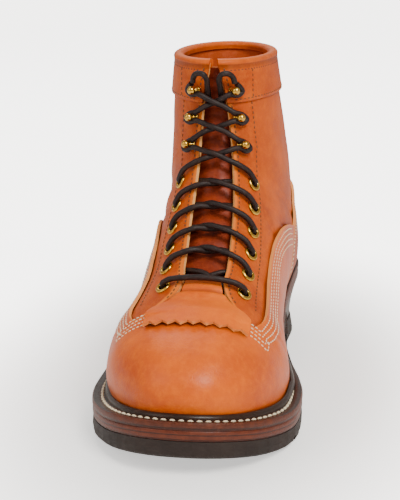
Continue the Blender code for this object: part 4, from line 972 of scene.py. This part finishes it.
# %% Rubber and insole finishes
def two_tone(name, mask, tones, rough, cell, strength, values):
    """Finish of two tones mixed by an output of the grain, with uneven roughness and a bump.

    mask is that output and its range; rough is the factor and the addend for the mottle.
    """
    made, tree, shader = new_finish(name)
    grain = add_node(tree, "ShaderNodeGroup", {"Cell size": cell}, node_tree=GRAIN)
    share = ranged(tree, grain.outputs[mask[0]], *mask[1:])
    feed(tree, shader, {"Base Color": mix_colour(tree, share, *[srgb(*tone) for tone in tones]),
                        "Roughness": times_plus(tree, grain.outputs["Mottle"], *rough), **values})
    if strength:
        emboss(tree, shader, grain.outputs["Height"], strength, 0.0003)
    return made


RUBBER_DARK = two_tone("rubber", ("Cloud", 0.4, 0.75), ((36, 26, 22), (50, 38, 33)), (0.3, 0.45), 1500.0, 0.3,
                       {"Specular IOR Level": 0.3})
for node in ("outsole", "top_lift", "insole"):
    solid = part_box(node) and bpy.data.objects[node]
    solid.data.materials.clear()
    solid.data.materials.append(LINING if node == "insole" else RUBBER_DARK)
    solid.data.polygons.foreach_set("material_index", np.zeros(len(solid.data.polygons), np.int32))
    print(node, "has the finish", solid.data.materials[0].name)

# %% [markdown]
# Brass is cast and polished, then handled, so it is bright on the crests and brown in the corners; its
# finish here is a noise mottle between brown and bright, not tied to crests or corners. The eyelets are
# lathe forms: a profile of radius and height turned round the axis of each hole.

# %% Brass
BRASS = two_tone("brass", ("Mottle", 0.40, 0.70), ((196, 142, 46), (238, 196, 92)), (0.22, 0.14),
                 CELL_SIZE, 0.0, {"Metallic": 1.0})


def turned(place, axis, outwards_way, profile, sides):
    """Closed lathe form: rings of (radius, height) turned about an axis, last ring joined to the first."""
    other = np.cross(axis, outwards_way)
    angle = np.linspace(0, 2 * math.pi, sides, endpoint=False)
    circle = np.outer(np.cos(angle), outwards_way) + np.outer(np.sin(angle), other)
    rings = [place + radius * circle + height * axis for radius, height in profile]
    return np.vstack(rings), ring_wall(rings)


hole, barrel = EYELET_HOLE / 2, EYELET_HOLE / 2 + 0.0006
flange, seat = barrel + 0.0017, CURVE_GAP - 0.0002
crown = [(hole + (flange - hole) * (0.5 - 0.5 * math.cos(t)), CURVE_GAP + 0.0009 * math.sin(t))
         for t in np.linspace(0.25, math.pi - 0.05, 9)]
profile = [(hole, -WALL), (hole, 0.0003), *crown, (flange - 0.0002, seat), (barrel, seat), (barrel, -WALL)]
for side, word in SIDES:
    spots, axes, away = EYELETS[side]
    for index in range(EYELET_COUNT):
        points, triangles = turned(spots[index], axes[index], away[index], profile, 36)
        eyelet = add_mesh(f"brass_eyelet_{word}_{index + 1}", points, outwards(points, triangles), [BRASS],
                          sharp=50)
        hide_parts(f"eyelet_{word}_{index + 1}")

# %% [markdown]
# A speed hook is a riveted plate, a neck that leans outwards and a round button. The same ring-by-ring
# recipe makes it: a line of places with a radius and a tilt for each ring. We set the button close over
# the neck, so that the lace shows outside it, as it does on the real boot.

# %% Hooks
def bent_form(line, radii, tilt, up, out, sides=24):
    """Rings across a line, tilted from flat (0) to upright (90 degrees), closed by poles at both ends."""
    across = np.cross(up, out)
    angle = np.linspace(0, 2 * math.pi, sides, endpoint=False)
    rings = []
    for place, radius, bend in zip(line, radii, tilt):
        lift = out * math.cos(bend) - up * math.sin(bend)
        rings.append(place + radius * (np.outer(np.cos(angle), lift) + np.outer(np.sin(angle), across)))
    return capped(rings, line[0], line[-1])


BAND_LIFT = 0.0014  # the top hooks stand on the collar band
ball, rise = HOOK_BALL / 2, LACE + 2 * GAP + HOOK_BALL / 2
button = [(rise - 0.0002 - ball * 0.98 * math.cos(t), 0.0012, ball * max(math.sin(t), 0.02), 0.0)
          for t in np.linspace(0.5, math.pi - 0.02, 14)]
steps = [
    # height, reach, radius, tilt
    (0.0009, 0.0, 0.0017, 0.0), (0.0013, 0.0, 0.0019, 0.0), (0.0017, 0.0, 0.0017, 0.0),
    (0.0020, 0.0, 0.0013, 0.0),
    (0.0026, 0.0, 0.0012, 0.0), (0.0034, 0.0003, 0.0012, 0.1), (0.0041, 0.0009, 0.0012, 0.1), *button]
for side, word in SIDES:
    spots, axes, away = HOOKS[side]
    for index in range(HOOK_COUNT):
        up, out = axes[index], away[index]
        base = spots[index] + up * (BAND_LIFT if index == HOOK_COUNT - 1 else 0.0)
        line = np.array([base + up * height + out * reach for height, reach, _, _ in steps])
        points, triangles = bent_form(line, [step[2] for step in steps], [step[3] for step in steps], up, out)
        hook = add_mesh(f"brass_hook_{word}_{index + 1}", points, outwards(points, triangles), [BRASS],
                        sharp=60)
        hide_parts(f"hook_{word}_{index + 1}")

# %% [markdown]
# The lace is one round thong in two strands. Each strand leaves its eyelet outwards, arches over the
# facing, crosses the other strand over the tongue, dives under the far facing and comes up through the
# next eyelet. Above the eyelets it is drawn round the necks of the hooks, under their buttons.

# %% Lace
LACE_BROWN = two_tone("lace thong", ("Mottle", 0.45, 0.75), ((26, 12, 9), (50, 26, 18)), (0.3, 0.38),
                      1700.0, 0.5, {"Specular IOR Level": 0.35})


def smooth_line(points, spacing=0.0009):
    """Curve through the points by cubics with averaged slopes, then points at even distances."""
    points = np.asarray(points, float)
    length = lengths(points)
    slope = np.gradient(points, length, axis=0)
    fine = np.linspace(0, length[-1], int(length[-1] / spacing * 2) + 2)
    index = np.clip(np.searchsorted(length, fine, side="right") - 1, 0, len(points) - 2)
    width = (length[index + 1] - length[index])[:, None]
    line = cubic(points, slope, index, width, (fine - length[index])[:, None] / width)
    run = lengths(line)
    even = np.linspace(0, run[-1], max(int(run[-1] / spacing), 3))
    return np.stack([np.interp(even, run, line[:, axis]) for axis in range(3)], 1)


def rounded(line, width=9):
    """Polyline with its corners eased by a running mean; the two ends stay."""
    window = np.ones(width) / width
    padded = np.vstack([np.repeat(line[:1], width // 2, 0), line, np.repeat(line[-1:], width // 2, 0)])
    return np.stack([np.convolve(padded[:, axis], window, "valid") for axis in range(line.shape[1])], 1)


def tube(line, radius, sides=12, seed=1):
    """Round skin along a line, its rings turned as little as can be, with a slightly uneven radius."""
    tangent = unit(np.gradient(line, axis=0))
    across = np.cross(tangent[0], [0.0, 0.0, 1.0])
    frames = []
    for axis in tangent:
        across = across - axis * (across @ axis)
        across = across / np.linalg.norm(across)
        frames.append(across)
    across = np.array(frames)
    other = np.cross(tangent, across)
    angle = np.linspace(0, 2 * math.pi, sides, endpoint=False)
    size = radius * (1 + 0.05 * cloud(line, 0.006, seed))
    rings = line[:, None] + size[:, None, None] * (np.cos(angle)[None, :, None] * across[:, None]
                                                   + np.sin(angle)[None, :, None] * other[:, None])
    return capped(rings, line[0], line[-1])


def lifted_line(numbers, halves, heights):
    """Points over the skin from section numbers, signed half widths and heights."""
    here, normal, _ = skin_frame(np.array(numbers), np.array(halves))
    return here + normal * np.array(heights)[:, None]


def strand_points(side):
    """Section numbers, signed halves and heights of one strand from the first eyelet to the top hook."""
    numbers, halves, heights = [], [], []

    def go(number, half, height):
        numbers.append(number)
        halves.append(half)
        heights.append(height)

    now = side
    edge = throat_half(ROWS)
    go(ROWS[0], now * (edge[0] + EYELET_INSET), -0.0002)
    go(ROWS[0] + 0.05, now * (edge[0] + EYELET_INSET - 0.0006), -0.0044)
    for index in range(8):
        start, end = ROWS[index], ROWS[index + 1]
        near, far = edge[index], edge[index + 1]
        hooked = index >= EYELET_COUNT - 1
        over, below = (-0.0030, -0.0066) if index == 0 else (0.0008, -0.0029)
        centre = (over if now > 0 else below) + (0.0024 if hooked else 0.0)

        def at(share):
            return start + (end - start) * share

        if index == 0:
            go(at(0.20), now * near * 0.9, -0.0050)
            go(at(0.50), 0.0, centre)
            go(at(0.80), -now * far * 0.9, -0.0050)
            go(at(0.93), -now * (far + 0.0060), -0.0048)
        else:
            if index < 6:
                go(at(0.05), now * (near + EYELET_INSET - 0.0016), 0.0026)
                go(at(0.15), now * (near + 0.0065), 0.0036)
                go(at(0.26), now * (near + 0.0005), 0.0033)
            go(at(0.36), now * near * 0.60, 0.0020)
            go(at(0.50), 0.0, centre)
            if not hooked:
                go(at(0.66), -now * far * 0.62, -0.0036)
                go(at(0.78), -now * (far + 0.0005), -0.0047)
                go(at(0.90), -now * (far + 0.0062), -0.0048)
        if not hooked:
            go(end - 0.03, -now * (far + EYELET_INSET - 0.0008), -0.0042)
            go(end, -now * (far + EYELET_INSET), -0.0004)
            go(end + 0.015, -now * (far + EYELET_INSET), 0.0014)
        else:
            neck = far + HOOK_INSET
            up = BAND_LIFT if index == 7 else 0.0
            go(at(0.64), -now * far * 0.62, 0.0020 + up)
            go(end - 0.22, -now * (neck - 0.0012), 0.0033 + up)
            go(end - 0.20, -now * (neck + 0.0030), 0.0030 + up)
            go(end, -now * (neck + 0.0050), 0.0030 + up)
            if index < 7:
                go(end + 0.20, -now * (neck + 0.0030), 0.0030 + up)
                go(end + 0.22, -now * (neck - 0.0012), 0.0033 + up)
        now = -now
    go(ROWS[-1] + 0.20, now * (edge[-1] + HOOK_INSET + 0.0034), 0.0056)
    go(ROWS[-1] + 0.36, now * (edge[-1] + 1.4 * HOOK_INSET), 0.0063)
    return numbers, halves, heights


bar_half = throat_half(ROWS[0]) + EYELET_INSET
bar_across = np.array([1.0, 0.97, 0.80, 0.45, 0.0, -0.45, -0.80, -0.97, -1.0])
bar_heights = np.array([-0.0002, 0.0026, 0.0043, 0.0040, 0.0038, 0.0040, 0.0043, 0.0026, -0.0002])
runs = [lifted_line(np.full(9, ROWS[0]), bar_half * bar_across, bar_heights)]
runs += [lifted_line(*strand_points(side)) for side, _ in SIDES]
forms = [tube(smooth_line(run), LACE / 2, 12, seed + 50) for seed, run in enumerate(runs)]
lace = add_mesh("lace_run", *merged(forms), [LACE_BROWN], sharp=80)
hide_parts("lace_bar", *[f"lace_crossing_{index}" for index in range(1, 9)])

# %% [markdown]
# Above the top hooks each end arches over and is tucked into the throat. These two are the free cords of
# the boot.

# %% Lace ends
LACE_END = np.array((
    # number, across, height
    (0.36, 1.20, 1.75), (0.62, 1.25, 2.00), (0.90, 1.05, 2.35), (1.05, 0.66, 2.75), (0.85, 0.37, 2.50),
    (0.50, 0.31, 1.75), (0.05, 0.31, 0.80), (-0.40, 0.31, -0.20), (-0.85, 0.31, -1.05)))
for side, word in SIDES:
    numbers = ROWS[-1] + LACE_END[:, 0]
    size = LACE_END[:, 1]
    edge = throat_half(numbers)
    halves = np.where(size < 0.5, 2 * size * edge, edge + (size - 0.5) * 2 * HOOK_INSET)
    line = smooth_line(lifted_line(numbers, side * halves, LACE * LACE_END[:, 2]), 0.0008)
    line = smooth_line(rounded(line, 9)[::6], 0.0008)
    points, triangles = tube(line, LACE / 2, 12, 60 + side)
    end = add_mesh(f"lace_tail_{word}", points, triangles, [LACE_BROWN], sharp=80)
    path = [tuple(float(v) for v in line[at]) for at in np.linspace(0, len(line) - 1, 25).astype(int)]
    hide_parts(f"lace_end_{word}")

# %% [markdown]
# A stitch is a short round piece of thread that dips into the leather at both ends. We work each one out
# as a small ridge along its line, so hundreds of stitches cost few faces.

# %% Stitches
def thread(name, colour, shade):
    """Twisted waxed thread: fine stripes across each stitch from its own attribute."""
    made, tree, shader = new_finish(name)
    ply = add_node(tree, "ShaderNodeAttribute", attribute_name="ply").outputs["Fac"]
    wave = math_node(tree, "SINE", math_node(tree, "MULTIPLY", ply, 2 * math.pi * 3))
    stripe = ranged(tree, wave, -1.0, 0.6)
    feed(tree, shader, {"Base Color": mix_colour(tree, stripe, srgb(*shade), srgb(*colour)),
                        "Roughness": 0.6})
    emboss(tree, shader, stripe, 0.4, 0.0002)
    return made


CREAM = thread("cream thread", (242, 230, 200), (212, 190, 150))
WAXED_THREAD = thread("waxed olive thread", (112, 72, 30), (62, 36, 14))
BROWN_THREAD = thread("brown thread", (84, 46, 20), (44, 24, 12))


def stitches(line, normals, pitch, length, width, height, steps=9, turns=6):
    """Stitches along a line: a half-round ridge for each, sunk at its ends, as whole arrays."""
    run = lengths(line)
    amount = max(int(round(run[-1] / pitch)), 1)
    centres = (np.arange(amount) + 0.5) * run[-1] / amount
    u, v = np.linspace(-1, 1, steps), np.linspace(0, math.pi, turns)
    at = centres[:, None] + 0.5 * length * u[None, :]
    spot, up = [np.stack([np.interp(at, run, rows[:, axis]) for axis in range(3)], -1)
                for rows in (line, normals)]
    up = unit(up)
    across = unit(np.cross(np.gradient(spot, axis=1), up))
    body = np.maximum(1 - np.abs(u) ** 3.0, 0.0) ** 0.5
    sink = -0.45 * height * (np.abs(u) ** 3)
    beside = 0.5 * width * body[None, :, None, None] * np.cos(v)[None, None, :, None] * across[:, :, None, :]
    rise = height * body[:, None] * np.sin(v)[None, :] + sink[:, None] - 0.15 * height
    points = spot[:, :, None, :] + beside + rise[None, :, :, None] * up[:, :, None, :]
    starts = np.arange(amount) * steps * turns
    faces = (grid_triangles(steps, turns)[None] + starts[:, None, None]).reshape(-1, 3)
    ply = np.broadcast_to(u[None, :, None] + 0.35 * np.cos(v)[None, None, :], (amount, steps, turns))
    return points.reshape(-1, 3), faces, ply.reshape(-1)


def sew(name, lines, finish, pitch, length, width, height):
    """One piece with the stitches of several lines."""
    made = [stitches(line, normals, pitch, length, width, height) for line, normals in lines]
    points, triangles = merged([form[:2] for form in made])
    ply = np.concatenate([form[2] for form in made])
    return add_mesh(name, points, triangles, [finish], None, {"ply": ply}, 70)


def skin_line(number, way, side, height, relief=None):
    """Line on the skin and its normals, raised by a height and by the relief of the piece it lies on."""
    number, way = np.asarray(number, float), np.asarray(way, float)
    sides = np.full_like(way, side)
    across = (surface(number, np.clip(way + 0.006, 0, 1), sides)
              - surface(number, np.maximum(way - 0.006, 0), sides))
    along_line = surface(number + 0.01, way, sides) - surface(number - 0.01, way, sides)
    normal = unit(np.cross(along_line, across) * side)
    here = surface(number, way, sides)
    raised = 0.0 if relief is None else relief(np.column_stack([here, number, way, sides]))
    return here + normal * np.broadcast_to(height + raised, len(here))[:, None], normal


face = CURVE_GAP + OVERLAY


def inset(number, way, side, gap):
    """Section numbers and ways moved along the skin by gap, square to the line and downwards.

    The step solves step_number * dS/dnumber + step_way * dS/dway = gap * direction by least squares.
    """
    sides = np.full_like(way, side)
    here = surface(number, way, sides)
    by_number = (surface(number + 0.01, way, sides) - surface(number - 0.01, way, sides)) / 0.02
    low, high = np.maximum(way - 0.004, 0), way + 0.004
    by_way = (surface(number, high, sides) - surface(number, low, sides)) / (high - low)[:, None]
    direction = unit(np.cross(np.cross(by_number, by_way), np.gradient(here, axis=0)))
    direction *= -np.sign(direction[:, 2].mean()) * gap
    nn, nw, ww = (by_number ** 2).sum(1), (by_number * by_way).sum(1), (by_way ** 2).sum(1)
    nd, wd = (by_number * direction).sum(1), (by_way * direction).sum(1)
    whole = nn * ww - nw ** 2
    return number + (nd * ww - wd * nw) / whole, way + (wd * nn - nd * nw) / whole


vamp_rows, counter_rows, facing_rows, seam_rows, collar_seams = [], [], [], [], []
for side in (1, -1):
    for gap in ROW_GAPS:
        corner = 5.68 - 46.0 * gap
        number = np.linspace(corner, 11.35, 260)
        number, way = inset(number, read(WING, number) - 0.02 * bump(number, corner, 0.3), side, gap)
        front = np.linspace(0.95, way[0], 40)[:-1]
        path = np.stack([np.concatenate([np.full(39, corner), number]), np.concatenate([front, way])], 1)
        path = rounded(path)
        line, normal = skin_line(path[:, 0], path[:, 1], side, face, vamp_relief)
        keep = line[:, 2] > bed(line[:, 1]) + 0.004
        vamp_rows.append((line[keep], normal[keep]))
    for gap in (0.0026, 0.0056):
        number = np.linspace(10.3, 14.66, 260)
        number, way = inset(number, np.maximum(read(COUNTER, number), 0.004), side, gap)
        keep = way > 0.002
        counter_rows.append(skin_line(number[keep], way[keep], side, face - 0.0001, counter_relief))
    number = np.linspace(5.6, LAST - 0.25, 320)
    half = throat_half(number) + 0.0027
    band = fade(number, LAST - 1.86, LAST - 1.84) * (CURVE_GAP + BAND)
    line, normal = skin_line(number, way_at(number, half, side), side, 0.0001, ankle_relief)
    line = line + normal * band[:, None]
    keep = number > 6.15
    facing_rows.append((line[keep], normal[keep]))
    seam = np.array(((6.0, 0.811), (8.1, 0.779), (10.1, 0.819), (12.4, 0.888), (14.0, 0.905), (14.95, 0.905),
                     (16.7, 0.880)))
    number = np.linspace(6.3, 16.7, 260)
    band = fade(number, 15.27, 15.29) * (CURVE_GAP + BAND)
    line, normal = skin_line(number, monotone(number, seam[:, 0], seam[:, 1]), side, 0.0001, ankle_relief)
    seam_rows.append((line + normal * band[:, None], normal))
    one = np.array([LAST])
    share = np.linspace(0.01, 0.985, 200)
    for down, rows in ((BAND_DEPTH - 0.0018, seam_rows), (0.0046, collar_seams)):
        way = share * throat_way(one, side)[0]
        number = LAST - sections_down(down, way)
        rows.append(skin_line(number, share * throat_way(number, side), side, CURVE_GAP + BAND - 0.0001))
sew("vamp_stitches", vamp_rows + counter_rows, CREAM, 0.0029, 0.0023, 0.0008, 0.00045)
sew("facing_stitches", facing_rows + seam_rows, WAXED_THREAD, 0.0031, 0.0021, 0.0009, 0.0004)
for side in (1, -1):
    number = np.linspace(13.2, LAST - 0.45, 120)
    line, normal = skin_line(number, np.full(120, 0.010), side, -WALL - 0.0001)
    collar_seams.append((line, -normal))
sew("collar_stitches", collar_seams, BROWN_THREAD, 0.0027, 0.0017, 0.0008, 0.0003)
ring = edge_ring(shares(steps=500), GROOVE)
line = at_height(ring, lambda y: camber(y) + MIDSOLE + GAP + WELT - GROOVE_DEPTH)
line = np.vstack([line, line[:1]])
upright = np.tile([0.0, 0.0, 1.0], (len(line), 1))
sew("welt_stitches", [(line, upright)], CREAM, 0.0049, 0.0040, 0.0020, 0.0012)

# %% [markdown]
# The studio is a pale round floor that curves up at its rim, one big soft lamp high on the right, a
# weaker one on the left, and an even sky. Soft lamps give leather its broad, quiet highlights. The floor
# carries painted light: it glows for the camera alone, brightly away from the boot and dimly near it,
# which paints a soft shadow round the boot over the lamps' own shadow.

# %% Floor and backdrop
WARM_WHITE = (1.0, 0.985, 0.965, 1.0)
FLAT, BEND, RIM = 2.5, 1.2, 2.0


def backdrop():
    """Round floor with a rim: flat out to FLAT, a quarter circle of radius BEND, then upright to RIM."""
    turn = np.linspace(0, math.pi / 2, 24)
    radius = np.concatenate([[0.001], FLAT + BEND * np.sin(turn), [FLAT + BEND]])
    z = np.concatenate([[0.0], BEND * (1 - np.cos(turn)), [RIM]])
    angle = np.linspace(0, 2 * math.pi, 97)
    grid = np.stack([radius[:, None] * np.cos(angle), radius[:, None] * np.sin(angle),
                     np.repeat(z[:, None], len(angle), 1)], -1)
    return grid.reshape(-1, 3), grid_triangles(len(z), len(angle))


def paper():
    """Pale warm paper with a barely visible tooth, and a camera-only painted glow dimmed near the boot."""
    made, tree, shader = new_finish("paper")
    place = add_node(tree, "ShaderNodeTexCoord").outputs["Object"]
    tooth = add_node(tree, "ShaderNodeTexNoise", {"Vector": place, "Scale": 3.0,
                                                  "Detail": 2.0}).outputs["Fac"]
    # Painted light: emission for camera rays only, weak near the boot, which paints a soft shadow there.
    seen = add_node(tree, "ShaderNodeLightPath").outputs["Is Camera Ray"]
    apart = add_node(tree, "ShaderNodeMapping", {"Vector": place, "Scale": (1 / 0.11, 1 / 0.20, 0.0)})
    reach = add_node(tree, "ShaderNodeVectorMath", {0: apart.outputs[0]}, operation="LENGTH").outputs["Value"]
    glow_and_painted_shadow = add_node(tree, "ShaderNodeMapRange", {"Value": reach, "From Min": 0.7, "From Max": 2.0,
                                                 "To Min": 0.8, "To Max": 4.2},
                    interpolation_type="SMOOTHSTEP").outputs[0]
    feed(tree, shader, {"Base Color": mix_colour(tree, tooth, srgb(250, 248, 245), srgb(252, 250, 248)),
                        "Roughness": 0.9, "Emission Color": WARM_WHITE,
                        "Emission Strength": math_node(tree, "MULTIPLY", seen, glow_and_painted_shadow)})
    return made


points, triangles = backdrop()
mesh = bpy.data.meshes.new("studio_floor")
mesh.from_pydata(points.tolist(), [], triangles.tolist())
mesh.materials.append(paper())
floor = bpy.data.objects.new("studio_floor", mesh)
bpy.context.scene.collection.objects.link(floor)
print("floor", len(points), "points")

# %% Lamps and camera
def aim(thing, place, forward, upward=(0.0, 0.0, 1.0)):
    """Place an object so that its -Z looks along forward."""
    forward = np.array(forward) / np.linalg.norm(forward)
    right = np.cross(forward, upward)
    right /= np.linalg.norm(right)
    above = np.cross(right, forward)
    turn = Matrix(np.column_stack([right, above, -forward]).tolist()).to_4x4()
    thing.matrix_world = Matrix.Translation(Vector([float(v) for v in place])) @ turn


def lamp(name, place, target, size, power, colour):
    """Soft square lamp that looks at a target."""
    light = bpy.data.lights.new(name, "AREA")
    light.shape, light.size, light.energy, light.color = "SQUARE", size, power, colour
    thing = bpy.data.objects.new(name, light)
    bpy.context.scene.collection.objects.link(thing)
    aim(thing, place, np.array(target) - np.array(place))


lamp("key", (0.75, -0.95, 1.35), (0.0, -0.03, 0.08), 0.7, 32.0, (1.0, 0.97, 0.92))
lamp("fill", (-0.95, -0.75, 0.95), (0.0, -0.03, 0.08), 0.9, 5.5, (1.0, 0.97, 0.95))
lamp("rim", (-0.3, 1.1, 1.3), (0.0, 0.0, 0.1), 1.0, 9.0, (1.0, 0.98, 0.96))
world = bpy.data.worlds.new("studio")
bpy.context.scene.world = world
world.use_nodes = True
feed(world.node_tree, world.node_tree.nodes["Background"], {"Color": WARM_WHITE, "Strength": 0.38})

CAMERA_PLACE, LENS, SENSOR = (0.111, -0.772, 0.296), 92.0, 36.0
ASIDE, RAISED = -83 / 800, 2 / 800  # turn that brings the boot to the middle of the picture
YAW, PITCH = math.radians(-2.8), math.radians(15.2)
forward = np.array([math.sin(YAW) * math.cos(PITCH), math.cos(YAW) * math.cos(PITCH), -math.sin(PITCH)])
right = np.array([math.cos(YAW), -math.sin(YAW), 0.0])
above = np.cross(right, forward)
data = bpy.data.cameras.new("camera")
data.sensor_fit, data.sensor_height, data.lens = "VERTICAL", SENSOR, LENS
camera = bpy.data.objects.new("camera", data)
bpy.context.scene.collection.objects.link(camera)
aim(camera, CAMERA_PLACE, forward + right * ASIDE + above * RAISED)
bpy.context.scene.camera = camera
print("camera", [round(v, 3) for v in camera.location], "lens", data.lens)
